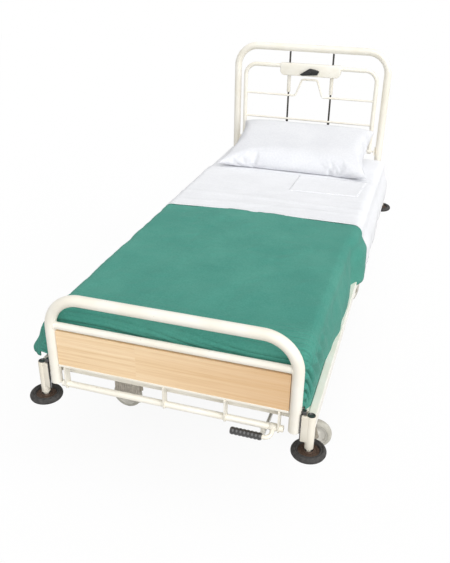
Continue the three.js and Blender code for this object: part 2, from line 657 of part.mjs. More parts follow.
function makeBackrest() {
  const loop = uprightLoop(REST_LEG_X, REST_Y, PIVOT_Z, REST_TOP_Z, REST_BEND, REST_TUBE);
  const eyes = [];
  const holes = [];
  for (const x of [-REST_LEG_X, REST_LEG_X]) {
    eyes.push(rodX(PIVOT_EYE, x - REST_TUBE / 2, x + REST_TUBE / 2, REST_Y, PIVOT_Z));
    holes.push(rodX(turningBore(PIVOT_PIN), x - REST_TUBE, x + REST_TUBE, REST_Y, PIVOT_Z));
  }
  add('backrest_loop', cut(join(loop, ...eyes), ...holes), CREAM_PAINT);
  const reach = REST_LEG_X - REST_TUBE / 2 - GAP;
  add('backrest_lower_bar', rodX(REST_BAR, -reach, reach, REST_Y, LOW_BAR_Z, ROD_SIDES), CREAM_PAINT);
  add('backrest_raised_bar', raisedBar(reach), CREAM_PAINT);
  add('lock_housing', lockHousing(), CREAM_PAINT);
  add('release_handle', releaseHandle(), BLACK_PLASTIC);
  add('lock_rod_left', lockRod(-SLEEVE_X), DARK_STEEL);
  add('lock_rod_right', lockRod(SLEEVE_X), DARK_STEEL);
}

// The bar that steps up in the middle.
function raisedBar(reach) {
  const top = OMEGA_Z + OMEGA_RISE;
  const half = [[OMEGA_TOP_HALF, REST_Y, top], [OMEGA_FOOT_HALF, REST_Y, OMEGA_Z], [reach, REST_Y, OMEGA_Z]];
  const mirrored = half.map(([x, y, z]) => [-x, y, z]).reverse();
  return bentTube([...mirrored, ...half], OMEGA_BEND, REST_BAR, ROD_SIDES, ROD_BEND_STEPS);
}

// A pressed cover round the backrest's top tube, with a sleeve for each lock rod.
function lockHousing() {
  const outline = new THREE.Shape();
  const c = HOUSING_CORNER;
  outline.moveTo(c - HOUSING_HALF, HOUSING_LOW_Z);
  outline.lineTo(HOUSING_HALF - c, HOUSING_LOW_Z);
  outline.quadraticCurveTo(HOUSING_HALF, HOUSING_LOW_Z, HOUSING_HALF, HOUSING_TOP_Z - c);
  outline.lineTo(HOUSING_HALF, HOUSING_TOP_Z);
  outline.lineTo(-HOUSING_HALF, HOUSING_TOP_Z);
  outline.lineTo(-HOUSING_HALF, HOUSING_TOP_Z - c);
  outline.quadraticCurveTo(-HOUSING_HALF, HOUSING_LOW_Z, c - HOUSING_HALF, HOUSING_LOW_Z);
  const front = REST_Y - HOUSING_FRONT;
  const cover = plateXZ(outline, front, REST_Y + HOUSING_BACK, 4);
  const rodAxis = REST_Y + LOCK_ROD_BEHIND;
  const sleeves = [-1, 1].map((s) => rodZ(SLEEVE_D, s * SLEEVE_X, rodAxis, SLEEVE_LOW_Z, HOUSING_TOP_Z - c));
  const high = HOUSING_TOP_Z + OVERCUT;
  const low = SLEEVE_LOW_Z - OVERCUT;
  const bores = [-1, 1].map((s) => rodZ(LOCK_ROD + 2 * GAP, s * SLEEVE_X, rodAxis, low, high));
  const past = HOUSING_HALF + OVERCUT;
  const tunnel = rodX(REST_TUBE + 2 * GAP, -past, past, REST_Y, REST_TOP_Z);
  const pinEnd = front + HANDLE_PIN_DEPTH + GAP;
  const pinHole = rodY(turningBore(HANDLE_PIN), 0, front - OVERCUT, pinEnd, HANDLE_Z);
  return cut(join(cover, ...sleeves), ...bores, tunnel, pinHole);
}

// A lozenge-shaped lever on a pin in the housing's face.
function releaseHandle() {
  const half = HANDLE_LENGTH / 2;
  const rise = HANDLE_HEIGHT / 2;
  const outline = new THREE.Shape();
  outline.moveTo(-half, 0);
  outline.quadraticCurveTo(0, -2 * rise, half, 0);
  outline.quadraticCurveTo(0, 2 * rise, -half, 0);
  const back = REST_Y - HOUSING_FRONT - GAP;
  const lever = plateXZ(outline, back - HANDLE_THICK, back, 6);
  lever.rotateY(-THREE.MathUtils.degToRad(HANDLE_TILT)).translate(0, 0, HANDLE_Z);
  const pin = rodY(HANDLE_PIN, 0, back - HANDLE_THICK / 2, back + HANDLE_PIN_DEPTH, HANDLE_Z);
  return join(lever, pin);
}

function lockRod(x) {
  const y = REST_Y + LOCK_ROD_BEHIND;
  const offset = HEAD_LOOP_Y - y;
  const under = HEAD_TOP_Z - Math.sqrt((END_TUBE / 2) ** 2 - offset ** 2);
  const rod = rodZ(LOCK_ROD, x, y, LOCK_ROD_LOW_Z, under - LOCK_ROD_TOP_GAP, ROD_SIDES);
  const foot = rodZ(ROD_FOOT_D, x, y, LOCK_ROD_LOW_Z, LOCK_ROD_LOW_Z + ROD_FOOT_LENGTH, ROD_SIDES);
  return join(rod, foot);
}

// A lattice of cloth given a thickness: each cell has an upper and a lower face, and free edges are closed.
function thickCloth(columns, rows, upperAt, lowerAt, hasCell = () => true) {
  const stride = columns + 1;
  const layer = stride * (rows + 1);
  const places = [];
  for (const at of [upperAt, lowerAt]) {
    for (let j = 0; j <= rows; j += 1) {
      for (let i = 0; i <= columns; i += 1) places.push(...at(i, j));
    }
  }
  const present = (i, j) => i >= 0 && j >= 0 && i < columns && j < rows && hasCell(i, j);
  const faces = [];
  const quad = (a, b, c, d) => faces.push(a, b, c, a, c, d);
  for (let j = 0; j < rows; j += 1) {
    for (let i = 0; i < columns; i += 1) {
      if (!present(i, j)) continue;
      const ring = [j * stride + i, j * stride + i + 1, (j + 1) * stride + i + 1, (j + 1) * stride + i];
      const beside = [present(i, j - 1), present(i + 1, j), present(i, j + 1), present(i - 1, j)];
      quad(...ring);
      quad(...ring.map((k) => k + layer).reverse());
      beside.forEach((there, k) => {
        const [from, to] = [ring[k], ring[(k + 1) % 4]];
        if (!there) quad(to, from, from + layer, to + layer);
      });
    }
  }
  const geometry = new THREE.BufferGeometry();
  geometry.setAttribute('position', new THREE.Float32BufferAttribute(places, 3));
  geometry.setIndex(faces);
  return geometry;
}

const smooth = (t) => THREE.MathUtils.smoothstep(t, 0, 1);

// Cloth over the mattress: a flat top, a rounded edge and hanging sides.
// The outline across the bed is walked in columns: side, top and side again.
function drape(cloth) {
  const { sideCells, topCells, topRows, flapRows, footY, headY, seatZ, thick, innerHalf } = cloth;
  const columns = topCells + 2 * sideCells;
  const rows = topRows + flapRows;
  const bend = CLOTH_BEND;
  const half = innerHalf - bend;
  const at = (offset) => (i, j) => {
    const row = Math.max(j - flapRows, 0) / topRows;
    const y = THREE.MathUtils.lerp(footY, headY, row);
    const flap = Math.max(flapRows - j, 0) / Math.max(flapRows, 1);
    const place = i - sideCells;
    const side = place < 0 ? -1 : 1;
    const down = Math.max(-place, place - topCells, 0) / sideCells;
    const across = THREE.MathUtils.clamp((2 * place) / topCells - 1, -1, 1) * half;
    const crown = cloth.crown * Math.cos((across / half) * (Math.PI / 2)) ** 2 * (1 - flap);
    const flat = [0, seatZ + bend + offset];
    const turn = down > 0 ? sideTurn(cloth, side, down, y, bend + offset, seatZ) : flat;
    const lift = down > 0 ? 0 : crown;
    const fall = flapFall(cloth, flap, bend + offset, seatZ);
    return [across + side * turn[0], flap > 0 ? footY - fall[0] : y, flap > 0 ? fall[1] : turn[1] + lift];
  };
  const corner = (i, j) => j >= flapRows || (i >= sideCells && i < sideCells + topCells);
  return thickCloth(columns, rows, at(thick), at(0), corner);
}

// How far out from the top, and at what height, a point hangs at a share of the way down a side.
function sideTurn(cloth, side, down, y, radius, seatZ) {
  const bendShare = CLOTH_BEND_CELLS / cloth.sideCells;
  const swing = Math.min(down / bendShare, 1) * (Math.PI / 2);
  const hang = Math.max(down - bendShare, 0) / (1 - bendShare);
  const fold = cloth.fold * (1 + Math.sin((2 * Math.PI * y) / cloth.foldPitch + side)) * hang;
  const headShare = smooth((y - cloth.headY) / cloth.flareLength + 1);
  const footShare = smooth((cloth.footY - y) / cloth.cornerLength + 1);
  const flare = (side > 0 ? cloth.flare * headShare : cloth.cornerFlare * footShare) * hang;
  const edgeZ = seatZ + radius * Math.cos(swing);
  return [radius * Math.sin(swing) + fold + flare, THREE.MathUtils.lerp(edgeZ, cloth.hemZ, hang)];
}

// The same for the flap tucked down over the foot of the mattress.
function flapFall(cloth, flap, radius, seatZ) {
  const bendShare = CLOTH_BEND_CELLS / Math.max(cloth.flapRows, 1);
  const swing = Math.min(flap / bendShare, 1) * (Math.PI / 2);
  const drop = (Math.max(flap - bendShare, 0) / (1 - bendShare)) * cloth.flapLength;
  return [radius * Math.sin(swing), seatZ + radius * Math.cos(swing) - drop];
}

function makeBedding() {
  const length = MATTRESS_HEAD_Y - MATTRESS_FOOT_Y;
  const mattress = new RoundedBoxGeometry(2 * MATTRESS_HALF_WIDTH, length, MATTRESS_THICK, 2, MATTRESS_EDGE);
  mattress.translate(0, (MATTRESS_FOOT_Y + MATTRESS_HEAD_Y) / 2, MATTRESS_LOW_Z + MATTRESS_THICK / 2);
  add('mattress', mattress, TICKING);
  const seatZ = MATTRESS_TOP_Z + GAP - CLOTH_BEND;
  const onMattress = MATTRESS_HALF_WIDTH + GAP;
  const blanket = drape({
    ...BLANKET_CELLS, flapLength: BLANKET_FLAP,
    footY: MATTRESS_FOOT_Y + CLOTH_BEND - GAP, headY: BLANKET_HEAD_Y, seatZ, thick: BLANKET_THICK,
    innerHalf: onMattress, crown: BLANKET_CROWN, hemZ: BLANKET_HEM_Z,
    fold: BLANKET_FOLD, foldPitch: BLANKET_FOLD_PITCH,
    flare: BLANKET_FLARE, flareLength: BLANKET_FLARE_LENGTH,
    cornerFlare: BLANKET_CORNER_FLARE, cornerLength: BLANKET_CORNER_LENGTH,
  });
  add('blanket', blanket, GREEN_WOOL);
  const sheet = {
    ...SHEET_CELLS, flapLength: 0,
    footY: BLANKET_HEAD_Y + GAP, headY: MATTRESS_HEAD_Y - MATTRESS_EDGE, seatZ, thick: SHEET_THICK,
    innerHalf: onMattress, crown: 0, hemZ: SHEET_HEM_Z,
    fold: 0, foldPitch: SHEET_FOLD_PITCH, flare: 0, flareLength: TURN_DOWN_FLARE_LENGTH,
    cornerFlare: 0, cornerLength: TURN_DOWN_FLARE_LENGTH,
  };
  add('bottom_sheet', drape(sheet), WHITE_LINEN);
  const turnDown = {
    ...sheet,
    headY: BLANKET_HEAD_Y + GAP + TURN_DOWN_LENGTH, seatZ: seatZ + SHEET_THICK + GAP, thick: TURN_DOWN_THICK,
    innerHalf: onMattress + SHEET_THICK + GAP, hemZ: TURN_DOWN_HEM_Z, fold: SHEET_FOLD,
    flare: TURN_DOWN_FLARE, topRows: TURN_DOWN_ROWS,
  };
  add('top_sheet', drape(turnDown), WHITE_LINEN);
  add('pillow', pillow(), WHITE_LINEN);
}

// A plump bag: its middle swells, its edges pull in between the corners and its back is propped up.
function pillow() {
  const columns = PILLOW_COLUMNS;
  const rows = PILLOW_ROWS;
  const restZ = SHEET_TOP_Z + GAP;
  const shape = (i, j) => {
    const u = (2 * i) / columns - 1;
    const v = (2 * j) / rows - 1;
    const x = u * (PILLOW_HALF_WIDTH - PILLOW_DRAW_IN * (1 - v * v));
    const y = PILLOW_FRONT_Y + ((v * (1 - PILLOW_END_DRAW * (1 - u * u)) + 1) / 2) * PILLOW_DEPTH;
    const lean = PILLOW_LEAN * ((v + 1) / 2) ** PILLOW_PROP_SHAPE;
    const inside = (1 - Math.abs(u) ** PILLOW_SIDE_SHAPE) * (1 - Math.abs(v) ** PILLOW_END_SHAPE);
    const swell = PILLOW_PUFF * inside ** PILLOW_FILL;
    return { x, y, lean, swell };
  };
  const upper = (i, j) => {
    const { x, y, lean, swell } = shape(i, j);
    return [x, y, restZ + 2 * PILLOW_RIM + lean + swell];
  };
  const lower = (i, j) => {
    const { x, y, lean, swell } = shape(i, j);
    return [x, y, restZ + Math.max(lean - swell, 0)];
  };
  return thickCloth(columns, rows, upper, lower);
}

makeBase();
for (const [sideName, side] of [['left', -1], ['right', 1]]) {
  for (const [endName, end, castorY] of [['foot', -1, CASTOR_FOOT_Y], ['head', 1, CASTOR_HEAD_Y]]) {
    makeCastor(side, castorY, `${endName}_${sideName}`);
    makeCorner(side, end, `${endName}_${sideName}`);
  }
}
makeUpperFrame();
makeFootEnd();
makeLever();
makePump();
makeHeadEnd();
makeBackrest();
makeBedding();

export default bed;
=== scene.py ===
# %% [markdown]
# # A variable-height ward bed
# This lesson dresses a finished CAD model of a hospital bed. The CAD gives every size and every joint.
# Here each plain solid gets the surface of the real thing: enamelled tube, oak laminate, moulded rubber,
# a cotton blanket and bed linen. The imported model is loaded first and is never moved.

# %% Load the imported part
import json
import math
import bmesh
import bpy
import numpy as np
from mathutils import Matrix, Vector, noise


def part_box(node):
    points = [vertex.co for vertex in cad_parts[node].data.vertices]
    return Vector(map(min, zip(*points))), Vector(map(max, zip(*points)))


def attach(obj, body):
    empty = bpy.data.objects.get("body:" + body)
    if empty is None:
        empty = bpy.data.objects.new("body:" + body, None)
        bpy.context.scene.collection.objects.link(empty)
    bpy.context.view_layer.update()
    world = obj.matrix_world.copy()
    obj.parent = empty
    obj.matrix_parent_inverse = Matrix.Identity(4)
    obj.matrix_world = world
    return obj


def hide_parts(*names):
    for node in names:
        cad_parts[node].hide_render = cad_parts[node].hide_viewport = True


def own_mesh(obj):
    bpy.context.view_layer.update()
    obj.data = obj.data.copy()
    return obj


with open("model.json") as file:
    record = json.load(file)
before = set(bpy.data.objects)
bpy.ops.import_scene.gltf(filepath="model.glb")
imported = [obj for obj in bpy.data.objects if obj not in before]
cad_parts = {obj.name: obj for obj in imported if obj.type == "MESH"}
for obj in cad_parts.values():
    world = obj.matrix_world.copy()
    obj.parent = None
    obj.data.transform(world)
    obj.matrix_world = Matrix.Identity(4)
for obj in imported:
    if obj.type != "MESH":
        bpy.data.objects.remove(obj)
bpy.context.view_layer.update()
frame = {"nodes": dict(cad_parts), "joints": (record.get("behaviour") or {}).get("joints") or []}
MM = 0.001
scene = bpy.context.scene

# %% [markdown]
# ## The camera
# The photograph looks down on the bed from beyond its foot, a little to the right. The place, the angles and
# the lens were worked out from the corners of the bed, so the camera is set by its three axes.

# %% Camera at the photograph's view
def photo_camera(eye, yaw, pitch, roll, lens):
    yaw, pitch, roll = (math.radians(a) for a in (yaw, pitch, roll))
    right = Vector((math.cos(yaw), math.sin(yaw), 0))
    level = Vector((-math.sin(yaw), math.cos(yaw), 0))
    ahead = level * math.cos(pitch) - Vector((0, 0, math.sin(pitch)))
    up = right.cross(ahead)
    across = right * math.cos(roll) + up * math.sin(roll)
    upward = up * math.cos(roll) - right * math.sin(roll)
    data = bpy.data.cameras.new("photo_camera")
    data.lens, data.sensor_width = lens, 36
    camera = bpy.data.objects.new("photo_camera", data)
    turn = Matrix((across, upward, -ahead)).transposed().to_4x4()
    camera.matrix_world = Matrix.Translation(eye) @ turn
    scene.collection.objects.link(camera)
    return camera

scene.camera = photo_camera(eye=(0.6669, -2.6949, 1.8357), yaw=17.0, pitch=27.52, roll=0.88, lens=42.57)
print("Camera at", [round(x, 2) for x in scene.camera.location])

# %% [markdown]
# ## Small tools for materials
# Colours are written as sRGB hex values, as a paint chart gives them, and Blender wants them linear.
# Every shader node is added by one function, which takes its settings and its links. A last one joins a finished
# colour and bump to the material's surface. The index of refraction stays at 1.5, which is close to that of paint,
# rubber, nylon and cotton.

# %% Colour and node tools
def linear(hex_colour):
    channels = [int(hex_colour[k:k + 2], 16) / 255 for k in (1, 3, 5)]
    return tuple(c / 12.92 if c <= 0.04045 else ((c + 0.055) / 1.055) ** 2.4 for c in channels) + (1,)

def node(tree, kind, settings=None, links=None):
    made = tree.nodes.new(kind)
    for key, value in (settings or {}).items():
        if key == "stops":
            while len(made.color_ramp.elements) < len(value):
                made.color_ramp.elements.new(0.5)
            for element, (place, colour) in zip(made.color_ramp.elements, value):
                element.position, element.color = place, linear(colour)
        elif isinstance(key, int) or key in made.inputs:
            made.inputs[key].default_value = value
        else:
            setattr(made, key, value)
    for key, source in (links or {}).items():
        tree.links.new(source, made.inputs[key])
    return made

def start_material(name, slot, **sockets):
    made = bpy.data.materials.new(name)
    made.use_nodes = True
    made["slot"] = slot
    shader = made.node_tree.nodes["Principled BSDF"]
    for key, value in sockets.items():
        shader.inputs[key.replace("_", " ").title()].default_value = value
    return made, made.node_tree, shader.inputs

def dress(tree, sockets, colour, bump):
    tree.links.new(colour, sockets["Base Color"])
    tree.links.new(bump.outputs[0], sockets["Normal"])

print("Mid grey #808080 is", round(linear("#808080")[0], 3), "in linear light")

# %% [markdown]
# ## Floor, backdrop and light
# The bed stands in a white studio sweep. A very wide sun from the front and right gives one soft direction, a weak
# one fills in from the right, and a white world does the rest. The floor and the world look white to the camera and
# in reflections, with a faint shadow under the wheels. The light that the floor throws back is that of a grey one, so
# that the underside of the bed stays as dim as it is in the photograph.

# %% White world
def white_to_the_eye(tree, lit, seen):
    path = node(tree, "ShaderNodeLightPath")
    rays = path.outputs["Is Camera Ray"]
    for other in ("Is Glossy Ray", "Is Transmission Ray"):
        rays = node(tree, "ShaderNodeMath", {"operation": "MAXIMUM"}, {0: rays, 1: path.outputs[other]}).outputs[0]
    return node(tree, "ShaderNodeMixShader", links={0: rays, 1: lit, 2: seen}).outputs[0]

world = bpy.data.worlds.new("white_studio")
world.use_nodes = True
scene.world = world
tree = world.node_tree
lit = tree.nodes["Background"]
lit.inputs["Color"].default_value = (1, 1, 1, 1)
lit.inputs["Strength"].default_value = 0.5
seen = node(tree, "ShaderNodeBackground", {"Color": (1, 1, 1, 1), "Strength": 1})
mixed = white_to_the_eye(tree, lit.outputs[0], seen.outputs[0])
tree.links.new(mixed, tree.nodes["World Output"].inputs["Surface"])
print("World of strength", lit.inputs["Strength"].default_value)

# %% Floor
FLOOR_REACH, GLOW_SHARE = 9, 0.9
floor_mesh = bpy.data.meshes.new("studio_floor")
floor_mesh.from_pydata([(x * FLOOR_REACH, y * FLOOR_REACH, 0) for x, y in ((-1, -1), (1, -1), (1, 1), (-1, 1))], [],
                       [(0, 1, 2, 3)])
floor = bpy.data.objects.new("studio_floor", floor_mesh)
floor.location.z = -0.5 * MM
scene.collection.objects.link(floor)
floor_paint, tree, _ = start_material("matt_sweep_paper", "floor", base_color=linear("#b4b3b0"), roughness=0.9)
glow = node(tree, "ShaderNodeEmission", {"Color": (1, 1, 1, 1), "Strength": 1})
paper = node(tree, "ShaderNodeBsdfDiffuse", {"Color": (1, 1, 1, 1)})
seen = node(tree, "ShaderNodeMixShader", {0: GLOW_SHARE}, {1: paper.outputs[0], 2: glow.outputs[0]})
mixed = white_to_the_eye(tree, tree.nodes["Principled BSDF"].outputs[0], seen.outputs[0])
tree.links.new(mixed, tree.nodes["Material Output"].inputs["Surface"])
floor_mesh.materials.append(floor_paint)
print("Floor", 2 * FLOOR_REACH, "m square")

# %% Wide suns
def wide_sun(name, energy, spread, towards):
    data = bpy.data.lights.new(name, "SUN")
    data.energy, data.angle = energy, math.radians(spread)
    sun = bpy.data.objects.new(name, data)
    sun.rotation_mode = "QUATERNION"
    sun.rotation_quaternion = Vector(towards).to_track_quat("-Z", "Y")
    scene.collection.objects.link(sun)

wide_sun("soft_key", 2.3, 80, (-0.5, 0.6, -0.62))
wide_sun("side_fill", 0.4, 90, (-0.92, 0.1, -0.36))
scene.view_settings.view_transform = "Standard"
print("Two wide suns in place")

# %% [markdown]
# ## Stove enamel
# The bed frame is steel tube under thick cream stove enamel. The enamel was baked, so it flowed into a faint
# orange-peel of about 4 mm, has a soft gloss, and has yellowed unevenly. The corner posts take a darker, yellower
# copy
# of it: partly yellowing, partly painted shade. Years of beds being pushed left rare scuffs a few millimetres long.
# Noise in object space gives all three, because the pieces are built in metres.

# %% Cream and grey enamel
YELLOWING, SCUFF, ORANGE_PEEL = 90 * MM, 14 * MM, 4 * MM

def enamel(name, slot, fresh, aged, scuff):
    made, tree, sockets = start_material(name, slot, roughness=0.34, coat_weight=0.25, coat_roughness=0.15)
    place = node(tree, "ShaderNodeTexCoord").outputs["Object"]
    patches = node(tree, "ShaderNodeTexNoise", {"Scale": 1 / YELLOWING, "Detail": 3}, {"Vector": place})
    tone = node(tree, "ShaderNodeValToRGB", {"stops": [(0.35, fresh), (0.7, aged)]}, {"Fac": patches.outputs["Fac"]})
    marks = node(tree, "ShaderNodeTexNoise", {"Scale": 1 / SCUFF, "Detail": 6, "Roughness": 0.65}, {"Vector": place})
    worn = node(tree, "ShaderNodeMapRange", {1: 0.69, 2: 0.73}, {0: marks.outputs["Fac"]})
    mixed = node(tree, "ShaderNodeMix", {"data_type": "RGBA", 7: linear(scuff)},
                 {0: worn.outputs[0], 6: tone.outputs[0]})
    peel = node(tree, "ShaderNodeTexNoise", {"Scale": 1 / ORANGE_PEEL, "Detail": 1}, {"Vector": place})
    bump = node(tree, "ShaderNodeBump", {"Strength": 0.12, "Distance": 0.2 * MM}, {"Height": peel.outputs["Fac"]})
    dress(tree, sockets, mixed.outputs[2], bump)
    return made

cream_enamel = enamel("cream_stove_enamel", "cream_paint", "#f7f3e9", "#f1ebdc", "#cfc4ae")
# Darker, yellower copy for the corner posts: partly yellowing, partly painted shade.
post_enamel_yellowed_and_shaded = enamel("yellowed_and_shaded_post_enamel", "cream_paint", "#ebe5d7", "#e2dac8", "#b9ac94")
grey_enamel = enamel("pale_grey_enamel", "grey_paint", "#cfcec8", "#c4c2ba", "#8b8880")
print("Made", cream_enamel.name, post_enamel_yellowed_and_shaded.name, grey_enamel.name)

# %% [markdown]
# ## Oak laminate
# The foot panel is printed oak laminate: two boards' widths with a faint upright join. The grain runs straight
# along the panel in streaks about 8 mm tall and half a metre long, with pores 0.5 mm wide, drawn three times as wide
# so that they show. Stretching noise along X draws both. Beyond the join the noise is read from another place, so
# that the streaks break off there. Towards the right end the colour is mixed into a darker oak, as painted shade.

# %% Oak
JOIN_X, STREAK, PORE = -111 * MM, 8 * MM, 1.6 * MM

def oak_laminate():
    made, tree, sockets = start_material("printed_oak_laminate", "oak_laminate", roughness=0.42)
    place = node(tree, "ShaderNodeTexCoord").outputs["Object"]
    across = node(tree, "ShaderNodeSeparateXYZ", links={0: place}).outputs["X"]
    board = node(tree, "ShaderNodeMapRange", {1: JOIN_X, 2: JOIN_X + 1 * MM}, {0: across}).outputs[0]
    shift = node(tree, "ShaderNodeCombineXYZ", links={"Z": board})
    moved = node(tree, "ShaderNodeVectorMath", {"operation": "ADD"}, {0: place, 1: shift.outputs[0]})
    streak_place = node(tree, "ShaderNodeMapping", {"Scale": (0.016, 1, 1)}, {"Vector": moved.outputs[0]})
    streaks = node(tree, "ShaderNodeTexNoise", {"Scale": 1 / STREAK, "Detail": 4, "Roughness": 0.6},
                   {"Vector": streak_place.outputs[0]})
    stops = [(0.3, "#ecc99a"), (0.5, "#f7d9b0"), (0.7, "#fde3be")]
    wood = node(tree, "ShaderNodeValToRGB", {"stops": stops}, {"Fac": streaks.outputs["Fac"]})
    pore_place = node(tree, "ShaderNodeMapping", {"Scale": (0.02, 1, 1)}, {"Vector": moved.outputs[0]})
    pores = node(tree, "ShaderNodeTexNoise", {"Scale": 1 / PORE, "Detail": 2}, {"Vector": pore_place.outputs[0]})
    dark = node(tree, "ShaderNodeMapRange", {1: 0.55, 2: 0.75, 4: 0.25}, {0: pores.outputs["Fac"]})
    grained = node(tree, "ShaderNodeMix", {"data_type": "RGBA", 7: linear("#c08f5a")},
                   {0: dark.outputs[0], 6: wood.outputs[0]})
    # Painted shade: the panel is mixed towards a darker oak colour towards its right end.
    painted_shade_to_right = node(tree, "ShaderNodeMapRange", {1: -0.15, 2: 0.4, 3: 0.0, 4: 0.5}, {0: across})
    mixed = node(tree, "ShaderNodeMix", {"data_type": "RGBA", 7: linear("#d2a06a")},
                 {0: painted_shade_to_right.outputs[0], 6: grained.outputs[2]})
    bump = node(tree, "ShaderNodeBump", {"Strength": 0.1, "Distance": 0.1 * MM}, {"Height": pores.outputs["Fac"]})
    dress(tree, sockets, mixed.outputs[2], bump)
    return made

oak = oak_laminate()
print("Made", oak.name)

# %% [markdown]
# ## Rubber, plastic and plated steel
# The bumper rollers are moulded black rubber with a dusty bloom, and the lever grip is the same rubber, polished by
# hands until it shines. The wheels have grey rubber tyres on pale nylon discs. Pump rod and inner columns are
# zinc-plated. The castor forks take a darker, browner copy of the zinc as painted shade, because they stand in the
# shade under the bed, and the brake plates take a darker, browner zinc. Oxide and dirt hide part of the metal, so
# these are only part metallic. The lock rods are oiled dark steel. Each finish is a base colour broken up by noise,
# with the grain of its mould or its plating as a bump. The sizes are in millimetres: colour patches, grain, and the
# grain's depth.

# %% Moulded and plated finishes
def speckled(name, slot, dark, light, patch_mm, grain_mm, depth_mm, **sockets_set):
    made, tree, sockets = start_material(name, slot, **sockets_set)
    place = node(tree, "ShaderNodeTexCoord").outputs["Object"]
    patches = node(tree, "ShaderNodeTexNoise", {"Scale": 1 / (patch_mm * MM), "Detail": 5}, {"Vector": place})
    tone = node(tree, "ShaderNodeValToRGB", {"stops": [(0.35, dark), (0.7, light)]}, {"Fac": patches.outputs["Fac"]})
    grain = node(tree, "ShaderNodeTexNoise", {"Scale": 1 / (grain_mm * MM), "Detail": 2}, {"Vector": place})
    bump = node(tree, "ShaderNodeBump", {"Strength": 0.3, "Distance": depth_mm * MM},
                {"Height": grain.outputs["Fac"]})
    dress(tree, sockets, tone.outputs[0], bump)
    return made

black_rubber = speckled("moulded_black_rubber", "black_rubber", "#2b2a29", "#444240", 12, 1.5, 0.2, roughness=0.7)
grey_rubber = speckled("grey_tyre_rubber", "grey_tyre", "#b6b3a8", "#c9c6bb", 25, 2, 0.2, roughness=0.7)
grip_rubber = speckled("polished_black_rubber", "black_rubber", "#1f1e1e", "#2d2b2a", 12, 2, 0.1, roughness=0.27,
                       coat_weight=0.8, coat_roughness=0.12)
nylon = speckled("cast_nylon", "pale_plastic", "#d2cfc6", "#dedbd3", 30, 2, 0.1, roughness=0.45)
black_plastic = speckled("moulded_phenolic", "black_plastic", "#1b1b1c", "#262626", 20, 1.2, 0.1, roughness=0.32)
zinc = speckled("zinc_plated_steel", "zinc_steel", "#d2d1cc", "#e2e1dc", 9, 1.5, 0.1, roughness=0.4, metallic=0.5)
# A darker, browner copy of the zinc for the castor forks: painted shade of the shade under the bed.
castor_zinc_painted_shade = speckled("castor_zinc_with_painted_shade", "zinc_steel", "#978f82", "#b0a899", 9, 1.5, 0.2, roughness=0.55,
                     metallic=0.4)
# A darker, browner zinc for the brake plates.
brake_plate_zinc = speckled("darker_brake_plate_zinc", "zinc_steel", "#a9a297", "#c4bdb1", 9, 1.5, 0.2, roughness=0.5, metallic=0.4)
dark_steel = speckled("oiled_dark_steel", "dark_steel", "#3d3b39", "#55524e", 10, 1.5, 0.1, roughness=0.35,
                      metallic=0.9)
rust = speckled("browned_steel", "dark_steel", "#43342a", "#5f4a3b", 5, 1, 0.2, roughness=0.6, metallic=0.3)
print("Made", black_rubber.name, grey_rubber.name, nylon.name, black_plastic.name, zinc.name, dark_steel.name)

# %% [markdown]
# ## Cotton and ticking
# The sheets are plain-weave cotton washed many times, so they are white with a cool cast and matt. The pillowcase is
# the same cotton painted a shade greyer, as painted shade. The blanket is a thick brushed cotton weave: a small
# basket pattern under a soft nap. The mattress has a smooth waterproof cover. Threads of half a millimetre don't show
# at this distance, so the weaves are drawn four to ten times as coarse as they are.

# %% Woven finishes
def woven(name, slot, dark, light, patch_mm, thread_mm, depth_mm, nap_mm, **sockets_set):
    made, tree, sockets = start_material(name, slot, **sockets_set)
    place = node(tree, "ShaderNodeTexCoord").outputs["Object"]
    patches = node(tree, "ShaderNodeTexNoise", {"Scale": 1 / (patch_mm * MM), "Detail": 4}, {"Vector": place})
    nap = node(tree, "ShaderNodeTexNoise", {"Scale": 1 / (nap_mm * MM), "Detail": 3}, {"Vector": place})
    both = node(tree, "ShaderNodeMix", {"data_type": "FLOAT", 0: 0.5},
                {2: patches.outputs["Fac"], 3: nap.outputs["Fac"]})
    tone = node(tree, "ShaderNodeValToRGB", {"stops": [(0.38, dark), (0.62, light)]}, {"Fac": both.outputs[0]})
    turns = 2 * math.pi / (20 * thread_mm * MM)
    threads = [node(tree, "ShaderNodeTexWave", {"bands_direction": way, "Scale": turns, "Distortion": 0.6,
                                                "Detail": 1}, {"Vector": place}).outputs["Fac"] for way in "XYZ"]
    weave = node(tree, "ShaderNodeMath", {"operation": "MULTIPLY_ADD"}, dict(enumerate(threads)))
    rough = node(tree, "ShaderNodeMath", {"operation": "ADD"}, {0: weave.outputs[0], 1: nap.outputs["Fac"]})
    bump = node(tree, "ShaderNodeBump", {"Strength": 0.35, "Distance": depth_mm * MM}, {"Height": rough.outputs[0]})
    dress(tree, sockets, tone.outputs[0], bump)
    return made

cotton = woven("washed_white_cotton", "white_cotton", "#ecedf0", "#f2f3f6", 120, 2.2, 0.25, 9, roughness=0.9)
# The pillowcase: the sheet cotton painted a shade greyer, as painted shade.
pillow_cotton_painted_shade = woven("greyer_pillow_cotton_painted_shade", "white_cotton", "#e0e1e5", "#e8e9ec", 120, 2.2, 0.25, 9, roughness=0.9)
blanket_cotton = woven("brushed_green_cotton", "green_blanket", "#3e8c7d", "#4d9888", 160, 5, 0.9, 6,
                       roughness=0.95, sheen_weight=0.05, sheen_roughness=0.5)
ticking = woven("waterproof_ticking", "mattress_ticking", "#dad9d4", "#e6e5e0", 150, 3, 0.2, 12, roughness=0.55)
print("Made", cotton.name, blanket_cotton.name, ticking.name)

# %% [markdown]
# ## Bending tube
# A bent tube is a circle carried along a path of straight runs and arcs. A curve with a round bevel could do this,
# but here each tool adds its shape to one bmesh, so that a piece made from several shapes is still one object.

